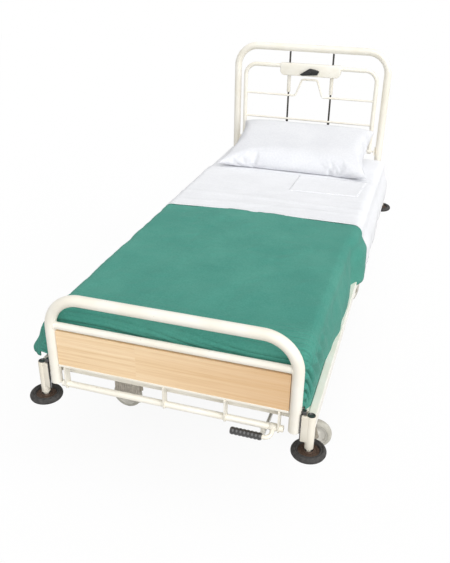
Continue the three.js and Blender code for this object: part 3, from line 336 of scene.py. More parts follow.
# %% Tube tools
def bend(corners, radius, steps=16):
    path = [Vector(corners[0])]
    for before, corner, after in zip(corners, corners[1:], corners[2:]):
        corner = Vector(corner)
        back, ahead = (Vector(before) - corner).normalized(), (Vector(after) - corner).normalized()
        half = back.angle(ahead) / 2
        centre = corner + (back + ahead).normalized() * (radius / math.sin(half))
        first = corner + back * (radius / math.tan(half)) - centre
        last = corner + ahead * (radius / math.tan(half)) - centre
        turn = first.angle(last)
        for k in range(steps + 1):
            a = turn * k / steps
            path.append(centre + (first * math.sin(turn - a) + last * math.sin(a)) / math.sin(turn))
    return path + [Vector(corners[-1])]

def skin(shape, rings, loop=False):
    made = [[shape.verts.new(p) for p in ring] for ring in rings]
    pairs = list(zip(made, made[1:])) + ([(made[-1], made[0])] if loop else [])
    for low, high in pairs:
        for k in range(len(low)):
            n = (k + 1) % len(low)
            shape.faces.new((low[k], low[n], high[n], high[k]))
    if not loop:
        shape.faces.new(made[0][::-1])
        shape.faces.new(made[-1])

def tube(shape, path, diameter, sides=32):
    path = [Vector(p) for p in path]
    side = (path[1] - path[0]).orthogonal().normalized()
    rings = []
    for k, place in enumerate(path):
        ahead = (path[min(k + 1, len(path) - 1)] - path[max(k - 1, 0)]).normalized()
        side = (side - ahead * side.dot(ahead)).normalized()
        other = ahead.cross(side)
        angles = [2 * math.pi * s / sides for s in range(sides)]
        rings.append([place + (side * math.cos(a) + other * math.sin(a)) * diameter / 2 for a in angles])
    skin(shape, rings)

print("Tube tools are ready")

# %% [markdown]
# ## Turned parts, plates and finished pieces
# A wheel or a roller is a profile turned about an axis, as on a lathe: each point of the profile is a radius and a
# height in millimetres. A strap is an outline given a thickness and bevelled edges. A finished shape becomes one
# object that rides on a body of the CAD model and takes the place of the solids that it stands for.

# %% Turning tools
def stand(axis, place):
    turns = {"X": Matrix.Rotation(math.pi / 2, 4, "Y"), "Y": Matrix.Rotation(-math.pi / 2, 4, "X"),
             "Z": Matrix.Identity(4)}
    return Matrix.Translation(place) @ turns[axis]

def turned(shape, profile, axis, place, sides=40, loop=True):
    move = stand(axis, place)
    spokes = [(math.cos(2 * math.pi * s / sides), math.sin(2 * math.pi * s / sides)) for s in range(sides)]
    rings = [[move @ (Vector((r * c, r * s, h)) * MM) for c, s in spokes] for r, h in profile]
    skin(shape, rings, loop)

print("Turning tools are ready")

# %% Plate tools
def extrude(shape, faces, way):
    made = bmesh.ops.extrude_face_region(shape, geom=faces)["geom"]
    bmesh.ops.translate(shape, vec=way, verts=[v for v in made if isinstance(v, bmesh.types.BMVert)])

def plate(shape, outline, thick, axis, place, edge):
    part = bmesh.new()
    low = part.faces.new([part.verts.new((x * MM, y * MM, 0)) for x, y in outline])
    extrude(part, [low], (0, 0, thick * MM))
    bmesh.ops.recalc_face_normals(part, faces=part.faces)
    sharp = [e for e in part.edges if e.calc_face_angle(0) > 0.6]
    bmesh.ops.bevel(part, geom=sharp, offset=edge * MM, segments=3, affect="EDGES", profile=0.5)
    part.transform(stand(axis, place))
    held = bpy.data.meshes.new("held")
    part.to_mesh(held)
    shape.from_mesh(held)
    part.free()
    bpy.data.meshes.remove(held)

def block(shape, low, high, edge):
    size = [b - a for a, b in zip(low, high)]
    outline = [(0, 0), (size[0], 0), (size[0], size[1]), (0, size[1])]
    plate(shape, outline, size[2], "Z", Vector(low) * MM, edge)

print("Plate tools are ready")

# %% Finished pieces
def piece(name, shape, body, finish, *nodes, crease=38):
    bmesh.ops.remove_doubles(shape, verts=shape.verts, dist=1e-6)
    bmesh.ops.recalc_face_normals(shape, faces=shape.faces)
    mesh = bpy.data.meshes.new(name)
    shape.to_mesh(mesh)
    shape.free()
    return place_mesh(name, mesh, body, finish, nodes, crease)

def place_mesh(name, mesh, body, finish, nodes, crease):
    mesh.shade_smooth()
    mesh.set_sharp_from_angle(angle=math.radians(crease))
    mesh.materials.append(finish)
    obj = bpy.data.objects.new(name, mesh)
    scene.collection.objects.link(obj)
    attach(obj, body)
    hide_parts(*nodes)
    return obj

def centre_of(name):
    low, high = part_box(name)
    return (low + high) / 2, high - low

print("Tools for", len(frame["nodes"]), "CAD pieces are ready")

# %% [markdown]
# ## The two end loops and their rails
# Each end of the bed is one length of 38 mm tube bent twice. Their sizes are read from the CAD boxes, so the
# smooth tubes lie exactly where the solids are. The mid rail is welded between the legs of the foot loop, with a
# small bead of weld round each end.

# %% End loops
END_BEND = 112 * MM

def end_loop(name, new_name):
    low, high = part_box(name)
    d = high.y - low.y
    x, y, top = high.x - d / 2, (low.y + high.y) / 2, high.z - d / 2
    shape = bmesh.new()
    tube(shape, bend([(-x, y, low.z), (-x, y, top), (x, y, top), (x, y, low.z)], END_BEND, 24), d, 40)
    r = d / MM / 2
    for side in (-x, x):
        turned(shape, [(r, 0), (r - 1.5, -1.5), (r - 4, -1.5)], "Z", (side, y, low.z), 40, False)
    return piece(new_name, shape, "bed_frame", cream_enamel, name)

end_loop("foot_loop", "foot_end_loop")
end_loop("head_loop", "head_end_loop")

middle, size = centre_of("foot_mid_rail")
shape = bmesh.new()
reach = size.x / 2 + 1 * MM
tube(shape, [(-reach, middle.y, middle.z), (reach, middle.y, middle.z)], size.y)
WELD_BEAD = [(12.4, -3), (14.6, -1.5), (15.2, 1), (12.4, 3)]
for side in (-1, 1):
    turned(shape, WELD_BEAD, "X", (side * (reach - 2 * MM), middle.y, middle.z))
piece("foot_mid_tube", shape, "bed_frame", cream_enamel, "foot_mid_rail")
print("End loops and mid rail in place")

# %% [markdown]
# ## Pieces that keep their CAD shape
# Rails, columns, the deck and the oak panel are plain sections, and their solids are right as they are. A weld
# and a bevel modifier only soften their edges, as rolled steel and sawn board have them.

# %% Softened CAD pieces
def soften(finish, edge_mm, *names):
    for name in names:
        obj = frame["nodes"][name]
        obj.data.materials.clear()
        obj.data.materials.append(finish)
        weld = obj.modifiers.new("weld", "WELD")
        weld.merge_threshold = 1e-5
        edge = obj.modifiers.new("edge", "BEVEL")
        edge.width, edge.segments, edge.limit_method = edge_mm * MM, 3, "ANGLE"
        edge.angle_limit = math.radians(40)
        edge.harden_normals = True

soften(cream_enamel, 3, "side_rail_left", "side_rail_right", "cross_rail_foot", "cross_rail_column_foot",
       "cross_rail_column_head", "cross_rail_head")
soften(cream_enamel, 1.2, "panel_strip", "backrest_pivot_left", "backrest_pivot_right")
soften(oak, 1.2, "foot_panel")
soften(grey_enamel, 2.5, "base_frame", "column_outer_foot", "column_outer_head", "mattress_deck", "pump_unit")
soften(zinc, 2, "column_inner_foot", "column_inner_head")
print("Softened", sum(1 for o in frame["nodes"].values() if o.modifiers), "CAD pieces")

# %% [markdown]
# ## Pump lever
# A tube under the foot panel turns in four straps. Its bent arm ends in a ribbed rubber grip, and a finger on the
# tube pushes the pump rod. Tube, arm and finger are one piece, because they are welded and turn together. The tube's
# right end is open, as it is on the real bed. A strap could be cut with a boolean. Here its face is filled between
# the outline and the bore, and then given its thickness, which keeps the mesh clean.

# %% Lever tube and arm
LEVER_D, ARM_D, ARM_BEND, ARM_X = 22, 14, 20 * MM, 342 * MM
lever_low, lever_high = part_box("lever_tube")
grip_low, grip_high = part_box("lever_grip")
lever_y = centre_of("lever_hanger_1")[0].y
lever_z = lever_high.z - LEVER_D * MM / 2
grip_y, grip_z = (grip_low.y + grip_high.y) / 2, (grip_low.z + grip_high.z) / 2

shape = bmesh.new()
length = (lever_high.x - lever_low.x) / MM
turned(shape, [(0, 0), (9.5, 0), (11, 1.5), (11, length - 1), (10.4, length), (8.6, length), (8.5, length - 60),
               (0, length - 60)], "X", (lever_low.x, lever_y, lever_z), 36, False)
arm = [(ARM_X, lever_y, lever_z), (ARM_X, grip_y, grip_z), (grip_low.x + ARM_D * MM, grip_y, grip_z)]
tube(shape, bend(arm, ARM_BEND), ARM_D * MM, 28)
turned(shape, [(11, -12), (13, -9), (13, 9), (11, 12)], "X", (ARM_X, lever_y, lever_z))
rod_x = centre_of("pump_push_rod")[0].x / MM
block(shape, (rod_x - 7, lever_y / MM - 4, lever_low.z / MM), (rod_x + 7, lever_y / MM + 4, lever_z / MM), 1.5)
piece("pump_lever_bar", shape, "pump_lever", cream_enamel, "lever_tube")
print("Lever tube of", round(length), "mm")

# %% Straps
STRAP_BORE_R = 11.3

def arc(radius, start, turn, steps):
    angles = [start + turn * k / steps for k in range(steps + 1)]
    return [(radius * math.cos(a), radius * math.sin(a)) for a in angles]

def strap_piece(name, new_name):
    low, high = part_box(name)
    half, rise = (high.y - low.y) / 2 / MM, (high.z - lever_z) / MM
    outline = arc(half, math.pi, math.pi, 16) + [(half, rise), (-half, rise)]
    hole = arc(STRAP_BORE_R, 0, 2 * math.pi, 32)[:-1]
    shape = bmesh.new()
    rings = [[shape.verts.new((0, y * MM, z * MM)) for y, z in ring] for ring in (outline, hole)]
    edges = [shape.edges.new((ring[k], ring[(k + 1) % len(ring)])) for ring in rings for k in range(len(ring))]
    bmesh.ops.triangle_fill(shape, use_beauty=True, edges=edges)
    extrude(shape, list(shape.faces), (high.x - low.x, 0, 0))
    shape.transform(Matrix.Translation((low.x, lever_y, lever_z)))
    return piece(new_name, shape, "bed_frame", cream_enamel, name)

for k in range(1, 5):
    strap_piece(f"lever_hanger_{k}", f"lever_strap_{k}")
print("Four straps with bores of", 2 * STRAP_BORE_R, "mm")

# %% [markdown]
# ## Ribbed grip
# The grip is a rubber sleeve with eight soft ribs, so that a shoe or a hand doesn't slip. A turned profile with
# rounded ribs gives the row of highlights.

# %% Grip and pump rod
RIBS, RIB_STEPS, RIB_ROOT_R, RIB_RISE = 8, 8, 11, 1.5
length = (grip_high.x - grip_low.x) / MM
profile = [(0, 0), (8.5, 0), (10.4, 1.2)]
for k in range(RIBS * RIB_STEPS + 1):
    swell = 0.5 - 0.5 * math.cos(2 * math.pi * k / RIB_STEPS)
    profile.append((RIB_ROOT_R + RIB_RISE * swell ** 0.6, 1.6 + k * (length - 3.2) / (RIBS * RIB_STEPS)))
profile += [(10.4, length - 0.8), (9, length), (7.2, length), (7.2, length - 6), (0, length - 6)]
shape = bmesh.new()
turned(shape, profile, "X", (grip_low.x, grip_y, grip_z), 32, False)
piece("lever_grip_sleeve", shape, "pump_lever", grip_rubber, "lever_grip", crease=70)

low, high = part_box("pump_push_rod")
shape = bmesh.new()
rod = (high.y - low.y) / MM
turned(shape, [(0, 0), (4.5, 0), (6, 1.5), (6, rod - 1), (5, rod), (0, rod)], "Y",
       ((low.x + high.x) / 2, low.y, (low.z + high.z) / 2), 28, False)
piece("pump_rod_bar", shape, "push_rod", zinc, "pump_push_rod")
print("Grip with", RIBS, "ribs")

# %% [markdown]
# ## Bumper rollers
# At every corner a fat black rubber roller keeps the bed off the wall. It has raised rings on top, and its dished
# steel hub has gone brown. Both are turned from a profile, because rings that are only drawn would not shade.

# %% Rollers
CORNERS = ("foot_left", "foot_right", "head_left", "head_right")
ROLLER = [(8.4, 0), (33, 0), (34.5, 1.5), (44, 1.5), (50, 2.6), (53.8, 5.4), (55.6, 9), (56, 12), (55.6, 15),
          (53.8, 18.8), (50.6, 22.2), (47.8, 23.8), (46, 24), (44.4, 23), (43.4, 20.8), (41.2, 20.4), (40, 21.6),
          (37.8, 21.6), (36.6, 20), (35.2, 16), (34.4, 13.6), (8.4, 13.4)]
HUB_DISH = [(15.2, 13.6), (34, 13.6), (33.8, 14.6), (28.6, 14.8), (27.2, 16.4), (25.4, 16.4), (24, 14.8), (20, 15),
            (18.4, 19.4), (17.2, 20.2), (15.2, 20.2)]

def roller(name):
    low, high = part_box(f"bumper_roller_{name}")
    spot = (low + high) / 2
    shape = bmesh.new()
    turned(shape, ROLLER, "Z", (spot.x, spot.y, low.z), 56)
    piece(f"bumper_tyre_{name}", shape, f"bumper_{name}", black_rubber, f"bumper_roller_{name}", crease=55)
    shape = bmesh.new()
    turned(shape, HUB_DISH, "Z", (spot.x, spot.y, low.z), 40)
    piece(f"bumper_hub_{name}", shape, f"bumper_{name}", rust)

for name in CORNERS:
    roller(name)
print("Four rollers of", 2 * max(r for r, h in ROLLER), "mm")

# %% [markdown]
# ## Corner posts
# Above each roller stands a stub of tube that takes a drip pole, tied to the end loop by a flat web. A black rubber
# plug closes the socket. At the foot a black clip sits on the post, and a black rubber strip down the seam between
# the post and the loop is a painted shadow of the gap there. Tube and web are one piece, because they are welded
# together.

# %% Posts
WEB_TALL, SOCKET_DEEP = 96, 70
PLUG = [(0, -24), (9.3, -24), (9.3, 0), (12.6, 0.3), (12.2, 1.6), (9.6, 1.6), (8, -1), (0, -1.5)]

def beside(shape, side, x, y, z, edge):
    left, right = sorted(side * away for away in x)
    block(shape, (left, y[0], z[0]), (right, y[1], z[1]), edge)

def post(name):
    at_foot = name.startswith("foot")
    roller_low, roller_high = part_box(f"bumper_roller_{name}")
    spot = (roller_low + roller_high) / 2
    low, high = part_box(f"corner_post_{name}")
    base, top = roller_high.z / MM + 0.3, high.z / MM
    tall, pin = top - base, base - low.z / MM + 6
    shape = bmesh.new()
    turned(shape, [(0, 0), (12, 0), (14.5, 2), (14.5, tall - 1.2), (13.6, tall), (9.6, tall), (9.5, tall - 1),
                   (9.5, tall - SOCKET_DEEP), (0, tall - SOCKET_DEEP)], "Z", (spot.x, spot.y, base * MM), 36, False)
    turned(shape, [(0, 0), (15, 0), (17, 1.2), (17, 4), (8, 4.2), (8, pin), (0, pin)], "Z",
           (spot.x, spot.y, low.z), 36, False)
    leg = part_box("foot_loop" if at_foot else "head_loop")
    side = 1 if spot.x > 0 else -1
    inner, outer, y, web_low = leg[1].x / MM + 0.2, abs(spot.x) / MM, spot.y / MM, top - WEB_TALL
    if at_foot:
        beside(shape, side, (inner, outer - 7), (y - 13, y - 7), (web_low, top), 0.8)
    else:
        beside(shape, side, (inner, outer - 12), (y - 4, y + 4), (web_low, top), 0.8)
        leg_y = (leg[0].y + leg[1].y) / 2 / MM
        beside(shape, side, (inner, inner + 8), (leg_y - 4, y + 4), (web_low, top), 1.6)
    # The posts take the darker copy of the enamel: partly yellowing, partly painted shade.
    piece(f"corner_stub_{name}", shape, "bed_frame", post_enamel_yellowed_and_shaded, f"corner_post_{name}")
    shape = bmesh.new()
    turned(shape, PLUG, "Z", (spot.x, spot.y, high.z), 32, False)
    piece(f"pole_plug_{name}", shape, "bed_frame", grip_rubber)
    if at_foot:
        shape = bmesh.new()
        beside(shape, side, (inner + 0.5, inner + 15), (y - 8, y + 8), (top + 0.3, top + 14), 2)
        # Black strip down the seam between post and loop: a painted shadow of the gap.
        beside(shape, side, (inner - 0.5, inner + 2.6), (y - 14.4, y - 7), (web_low - 4, top + 4), 0.6)
        piece(f"post_clip_and_shadow_strip_{name}", shape, "bed_frame", grip_rubber)

for name in CORNERS:
    post(name)
print("Four posts with webs of", WEB_TALL, "mm")

# %% [markdown]
# ## Castors
# A castor is a bent steel fork that swivels, and a wheel that spins in it: grey tyre on a pale nylon disc with a
# raised rim and a boss. Fork and wheel are separate, because they move separately. Each castor is made pointing
# along X, and then turned the way its joints lie.

# %% Castor wheels and forks
TYRE = [(48, -15), (50, -16), (54, -15.6), (58.5, -13.6), (61.6, -10.6), (63.2, -6.5), (63.5, 0), (63.2, 6.5),
        (61.6, 10.6), (58.5, 13.6), (54, 15.6), (50, 16), (48, 15)]
DISC = [(6.3, -16), (12, -16), (13.4, -15), (15, -8), (18, -6), (24, -5.4), (30, -6.4), (36, -5.6), (40, -7),
        (42.4, -13), (44, -14.6), (47.2, -14.8), (47.7, -13)]
DISC = DISC + [(r, -h) for r, h in reversed(DISC)]

places_of = {joint["name"]: Vector(joint["pos_m"]) for joint in frame["joints"] if "pos_m" in joint}
TRAIL, CROWN = 38, 146

def castor_place(name):
    swivel, hub = places_of[f"castor_swivel_{name}"], places_of[f"wheel_spin_{name}"]
    turn = math.atan2(hub.y - swivel.y, hub.x - swivel.x)
    return Matrix.Translation((swivel.x, swivel.y, 0)) @ Matrix.Rotation(turn, 4, "Z"), hub.z

def cheek_outline(crown):
    eye = [(TRAIL + x, z) for x, z in arc(15.6, math.pi, math.pi, 10)]
    return [(x, -z) for x, z in eye + [(30, crown - 10), (27, crown), (-42, crown), (-44, crown - 34)]]

def castor(name):
    place, axle_z = castor_place(name)
    axle = (TRAIL * MM, 0, axle_z)
    for ring, profile, sides, finish, solid in (("tyre", TYRE, 64, grey_rubber, "tyre"),
                                                ("disc", DISC, 56, nylon, "hub")):
        shape = bmesh.new()
        turned(shape, profile, "Y", axle, sides)
        shape.transform(place)
        piece(f"wheel_{ring}_{name}", shape, f"wheel_{name}", finish, f"castor_{solid}_{name}", crease=50)
    shape = bmesh.new()
    for y in (-23, 19):
        plate(shape, cheek_outline(CROWN - axle_z / MM), 4, "Y", (0, y * MM, axle_z), 1.2)
    block(shape, (-44, -23, CROWN - 14), (30, 23, CROWN), 4)
    turned(shape, [(0, 140), (8, 140), (8, 185), (7, 186), (0, 186)], "Z", (0, 0, 0), 28, False)
    turned(shape, [(0, -26), (9, -26), (9, -23), (6, -22.5), (6, 22.5), (9, 23), (9, 26), (0, 26)], "Y", axle, 24,
           False)
    shape.transform(place)
    # The forks take the zinc with painted shade.
    piece(f"castor_yoke_{name}", shape, f"castor_{name}", castor_zinc_painted_shade, f"castor_fork_{name}")

for name in CORNERS:
    castor(name)
print("Four castors with wheels of", 2 * TYRE[6][0], "mm")

# %% [markdown]
# ## Brake plates
# On one diagonal the fork also carries a ribbed plate for the foot that sets the brake. A bump could draw the ribs,
# but small blocks catch real light.

# %% Brake plates
PLATE_RIBS, RIB_SPAN = 12, 109

def brake_plate(name):
    shape = bmesh.new()
    block(shape, (TRAIL - 69, 26.4, 48), (TRAIL + 45, 29, 141), 0.8)
    for k in range(PLATE_RIBS):
        x = TRAIL - 66.5 + k * RIB_SPAN / (PLATE_RIBS - 1)
        block(shape, (x - 2.2, 28.6, 50), (x + 2.2, 31.8, 139), 0.9)
    shape.transform(castor_place(name)[0])
    piece(f"brake_plate_{name}", shape, f"castor_{name}", brake_plate_zinc)

for name in ("foot_left", "head_right"):
    brake_plate(name)
print("Two brake plates with", PLATE_RIBS, "ribs")

# %% [markdown]
# ## Backrest
# Inside the head loop stands a lighter frame that tilts forward to prop a patient up. It is one bent tube on two
# pivots, with a straight bar and a bar that steps up in the middle. The bent-tube tool makes all three.

# %% Backrest tube and bars
low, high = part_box("backrest_loop")
REST_D, EYE_D, REST_BEND, BAR_D, BAR_BEND = 22 * MM, 28 * MM, 62 * MM, 11 * MM, 16 * MM
rest_x, rest_top = high.x - REST_D / 2, high.z - REST_D / 2
rest_y, pivot_z = (low.y + high.y) / 2, low.z + EYE_D / 2
shape = bmesh.new()
tube(shape, bend([(-rest_x, rest_y, pivot_z + 8 * MM), (-rest_x, rest_y, rest_top), (rest_x, rest_y, rest_top),
                  (rest_x, rest_y, pivot_z + 8 * MM)], REST_BEND, 18), REST_D)
for x in (-rest_x, rest_x):
    turned(shape, [(5.3, -11), (12.8, -11), (14, -9.8), (14, 9.8), (12.8, 11), (5.3, 11)], "X", (x, rest_y, pivot_z))
piece("backrest_tube", shape, "backrest", cream_enamel, "backrest_loop")

middle = centre_of("backrest_lower_bar")[0]
shape = bmesh.new()
tube(shape, [(-rest_x, middle.y, middle.z), (rest_x, middle.y, middle.z)], BAR_D, 24)
piece("backrest_straight_bar", shape, "backrest", cream_enamel, "backrest_lower_bar")
low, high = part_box("backrest_raised_bar")
z0, z1 = low.z + BAR_D / 2, high.z - BAR_D / 2
half = [(42 * MM, rest_y, z1), (75 * MM, rest_y, z0), (rest_x, rest_y, z0)]
path = [(-x, y, z) for x, y, z in reversed(half)] + half
shape = bmesh.new()
tube(shape, bend(path, BAR_BEND, 10), BAR_D, 24)
piece("backrest_stepped_bar", shape, "backrest", cream_enamel, "backrest_raised_bar")
print("Backrest", round(2 * rest_x, 3), "m wide between its leg centres")

# %% [markdown]
# ## Lock cover, release handle and rods
# A pressed cover with two rounded corners hides the lock, and a black moulded handle in the shape of a lozenge turns
# on it. Two dark rods run through sleeves behind the cover. Handle and rods are pieces of their own, because they
# move.

# %% Cover, handle and lock rods
COVER_ROUND, COVER_DEEP, SLEEVE_TOP, HANDLE_DEEP = 26, 40, 1198, 14
low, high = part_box("lock_housing")
half, rise = high.x / MM, 64
cover_low = high.z / MM - rise
turns = [math.pi / 2 * k / 8 for k in range(9)]
corner_arc = [(half - COVER_ROUND + COVER_ROUND * math.sin(a), COVER_ROUND - COVER_ROUND * math.cos(a))
              for a in turns]
outline = corner_arc + [(half, rise)] + [(-half, rise)] + [(-x, z) for x, z in reversed(corner_arc)]
shape = bmesh.new()
front = rest_y - 15 * MM
plate(shape, [(x, -z) for x, z in outline], COVER_DEEP, "Y", (0, front, cover_low * MM), 5)
rod_middle = centre_of("lock_rod_left")[0]
for x in (rod_middle.x, -rod_middle.x):
    turned(shape, [(5.4, low.z / MM), (9, low.z / MM), (10, low.z / MM + 1.5), (10, SLEEVE_TOP), (5.4, SLEEVE_TOP)],
           "Z", (x, rod_middle.y, 0), 32)
piece("lock_cover", shape, "backrest", cream_enamel, "lock_housing")

handle_z = places_of["handle_turn"].z
lozenge = [(-40, -20), (42, -13), (53, 8), (34, 15), (0, 20), (-53, -14)]
shape = bmesh.new()
back = front / MM - 0.3
plate(shape, [(x, -z) for x, z in lozenge], HANDLE_DEEP, "Y", (0, 0, 0), 3.5)
shape.transform(Matrix.Translation((0, (back - HANDLE_DEEP) * MM, handle_z)))
turned(shape, [(0, -17), (5, -17), (8, -15.5), (8, -13), (6, -12), (6, 8), (0, 8)], "Y", (0, back * MM, handle_z), 28,
       False)
piece("release_lozenge", shape, "release_handle", black_plastic, "release_handle")

for name in ("left", "right"):
    low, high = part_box(f"lock_rod_{name}")
    place = ((low.x + high.x) / 2, (low.y + high.y) / 2, low.z)
    length = (high.z - low.z) / MM
    shape = bmesh.new()
    turned(shape, [(0, 0), (5.5, 0), (7, 1.5), (7, 18), (5, 20), (5, length - 1), (4.2, length), (0, length)], "Z",
           place, 28, False)
    piece(f"lock_bar_{name}", shape, f"lock_rod_{name}", dark_steel, f"lock_rod_{name}")
print("Cover", round(2 * half), "mm wide with two lock rods")

# %% [markdown]
# ## Mattress
# The mattress is a foam block in waterproof ticking, with piping along its top and bottom edges. Sheets hide most
# of it. A rounded block is enough, and the piping is a thin tube on a rounded rectangle.

# %% Mattress
mattress_low, mattress_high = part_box("mattress")
PIPING_D, PIPING_BEND, PIPING_INSET, PIPING_UP = 6 * MM, 34 * MM, 5 * MM, 14 * MM
shape = bmesh.new()
block(shape, [c / MM for c in mattress_low], [c / MM for c in mattress_high], 30)

def piping(z):
    x, y0, y1 = mattress_high.x - PIPING_INSET, mattress_low.y + PIPING_INSET, mattress_high.y - PIPING_INSET
    corners = [(0, y0, z), (x, y0, z), (x, y1, z), (-x, y1, z), (-x, y0, z), (0, y0, z)]
    tube(shape, bend(corners, PIPING_BEND, 8), PIPING_D, 12)

piping(mattress_low.z + PIPING_UP)
piping(mattress_high.z - PIPING_UP)
mattress = piece("mattress_block", shape, "bed_frame", ticking, "mattress", crease=60)
print("Mattress", [round(c, 3) for c in mattress_high - mattress_low])

# %% [markdown]
# ## How a sheet lies on a mattress
# A cloth over a block is flat on top, turns round the edge and hangs. A cloth simulation could drape it, but its
# folds would fall anywhere, and these have to lie as they do in the photograph. So the function below takes every
# point of the flat cloth, given by how far across and along the bed it is, and finds where it lies. Round a corner
# the spare cloth is folded away, as a nurse folds it. `outward` says how far a hanging edge stands off, `fall` how
# straight it hangs, `wide` how far the cloth stands out past the mattress edge, and `ripple` adds the unevenness of
# cloth.

# %% Draping tool
BEND, SHOULDER = 30.0, 70
QUARTER = BEND * math.pi / 2

def smoothstep(t):
    t = np.clip(t, 0, 1)
    return t * t * (3 - 2 * t)

def drape(across, along, half, foot, head, top, outward, ripple, fall=lambda side, y: 1, wide=lambda side, y: 0):
    s, t = np.meshgrid(across, along, indexing="ij")
    side = np.sign(s)
    over_side = np.maximum(np.abs(s) - half, 0)
    over_end = np.maximum(foot - t, 0) + np.maximum(t - head, 0)
    end = np.where(t < foot, -1.0, 1.0)
    over = np.maximum(over_side, over_end)
    turn = np.arctan2(over_end, np.maximum(over_side, 1e-9)) * (over_end > 0)
    swing = np.minimum(over / BEND, math.pi / 2)
    hang = np.maximum(over - QUARTER, 0)
    y_flat = np.clip(t, foot, head)
    spread = wide(side, y_flat) * smoothstep((np.abs(s) - half + SHOULDER) / (SHOULDER + QUARTER))
    push = (outward(side, hang, y_flat) + spread) * np.cos(turn)
    wave = ripple(s, t, hang)
    x = np.clip(s, -half, half) + side * (push + np.cos(turn) * (BEND + wave) * np.sin(swing))
    y = y_flat + end * np.sin(turn) * (BEND + wave) * np.sin(swing)
    z = top(s, t) - BEND * (1 - np.cos(swing)) - hang * fall(side, y_flat) + wave * np.cos(swing)
    return np.stack([x, y, z], axis=-1) * MM

print("Cloth turns round the mattress edge at", BEND, "mm")

# %% Cloth tools
def lattice(name, places, body, finish, thick_mm, *nodes):
    columns, rows = places.shape[:2]
    faces = [(i * rows + j, (i + 1) * rows + j, (i + 1) * rows + j + 1, i * rows + j + 1)
             for i in range(columns - 1) for j in range(rows - 1)]
    mesh = bpy.data.meshes.new(name)
    mesh.from_pydata(places.reshape(-1, 3).tolist(), [], faces)
    obj = place_mesh(name, mesh, body, finish, nodes, 80)
    solid = obj.modifiers.new("thickness", "SOLIDIFY")
    solid.thickness, solid.offset = thick_mm * MM, 1
    return obj

def uneven(size_mm, depth_mm, seed, stretch=1):
    def at(s, t):
        points = zip(s.ravel() / size_mm / stretch, t.ravel() / size_mm)
        flat = [noise.fractal(Vector((a, b, seed)), 0.9, 2.1, 4) for a, b in points]
        return depth_mm * np.array(flat).reshape(s.shape)
    return at

def cut_size(across, along):
    return f"{across[-1] - across[0]:.0f} x {along[-1] - along[0]:.0f} mm"

print("Cloth tools are ready")

# %% [markdown]
# ## Bottom sheet
# The bottom sheet covers the head half of the mattress. It is tucked in at the head end and on the left, and on the
# right it hangs loose over the rail. It is stretched flat, so a faint noise is all the unevenness that it needs.

# %% Bottom sheet
LEFT_TUCK, RIGHT_HANG, HEAD_TUCK, UNDER_BLANKET, NO_END = 138, 158, 60, -40, 9999
HALF = mattress_high.x / MM + 0.6 - BEND
FOOT, HEAD = mattress_low.y / MM - 0.6 + BEND, mattress_high.y / MM + 0.6 - BEND
TOP = mattress_high.z / MM + 0.6
soft = uneven(140, 1.2, 3.0)

def plain_top(level):
    return lambda s, t: np.full_like(s, level)

def fade(y, start, run):
    return smoothstep((y - start) / run)

def loose_share(side, y):
    return np.where(side > 0, fade(y, 480, 90), 0)

def loose_over_rail(side, hang, y):
    return 26 * loose_share(side, y) * smoothstep(hang / 110)

across = np.linspace(-(HALF + QUARTER + LEFT_TUCK), HALF + QUARTER + RIGHT_HANG, 136)
along = np.linspace(UNDER_BLANKET, HEAD + QUARTER + HEAD_TUCK, 120)
places = drape(across, along, HALF, -NO_END, HEAD, plain_top(TOP), loose_over_rail,
               lambda s, t, hang: 0.6 + np.abs(soft(s, t)), wide=lambda side, y: 28 * loose_share(side, y))
bottom_sheet = lattice("bottom_sheet_cloth", places, "bed_frame", cotton, 1.2, "bottom_sheet")
print("Bottom sheet cut to", cut_size(across, along))

# %% [markdown]
# ## Blanket
# The green blanket is tucked in at the foot and along the sides. Near its head edge on the right it has come out
# and hangs over the rail, further down it swells over the rail, and a corner hangs out at the left of the foot. Where
# it is tucked at the right of the foot, the spare cloth lies in slanting pleats, and across the foot it is gathered.
# Its head edge isn't quite straight: it lags on the left. Every length is in millimetres.

# %% Where the blanket is loose
def loose_right(side, y):
    return np.where(side > 0, fade(y, -235, 120), 0)

def loose_left(side, y):
    return np.where(side < 0, 1 - fade(y, FOOT, 170), 0)

def tucked_corner(side, y):
    return np.where(side > 0, 1 - fade(y, FOOT + 90, 260), 0)

def over_rail(side, y):
    return np.where(side > 0, fade(y, -800, 230) * (1 - fade(y, -330, 130)), 0)

print("Tucked share at the right of the foot:", float(tucked_corner(1, FOOT)))

# %% How the blanket hangs
def blanket_out(side, hang, y):
    corner_fold = 0.9 + 0.1 * np.sin((y - FOOT) / 13 + hang / 20)
    return (20 * loose_right(side, y) * smoothstep(hang / 62) + 17 * over_rail(side, y) * smoothstep(hang / 110)
            + 7 * smoothstep(hang / 90) * (1 - tucked_corner(side, y))
            + 76 * loose_left(side, y) * np.minimum(hang / 150, 1) ** 0.75 * corner_fold)

def blanket_wide(side, y):
    return 24 * loose_right(side, y)

def head_edge(s):
    return 6 - 24 * fade(-s, 100, 320)

def blanket_fall(side, y):
    return 1 + 0.03 * loose_right(side, y) - 0.06 * loose_left(side, y)

print("The loose corner stands out by", round(float(blanket_out(-1, 150, FOOT))), "mm")

# %% [markdown]
# ## Folds of the blanket
# Thick brushed cotton lies in broad soft folds about 230 mm apart, with smaller ones of 70 mm on them. Noise gives
# both. Gathers and pleats are regular, so waves draw them: gathers of 14 and 28 mm across the foot, and slanting
# pleats of 70 mm at the tucked corner. The last function lifts the middle of the bed into a slight crown.

# %% Blanket folds
folds = uneven(230, 5.2, 7.0)
small_folds = uneven(70, 2.2, 11.0)

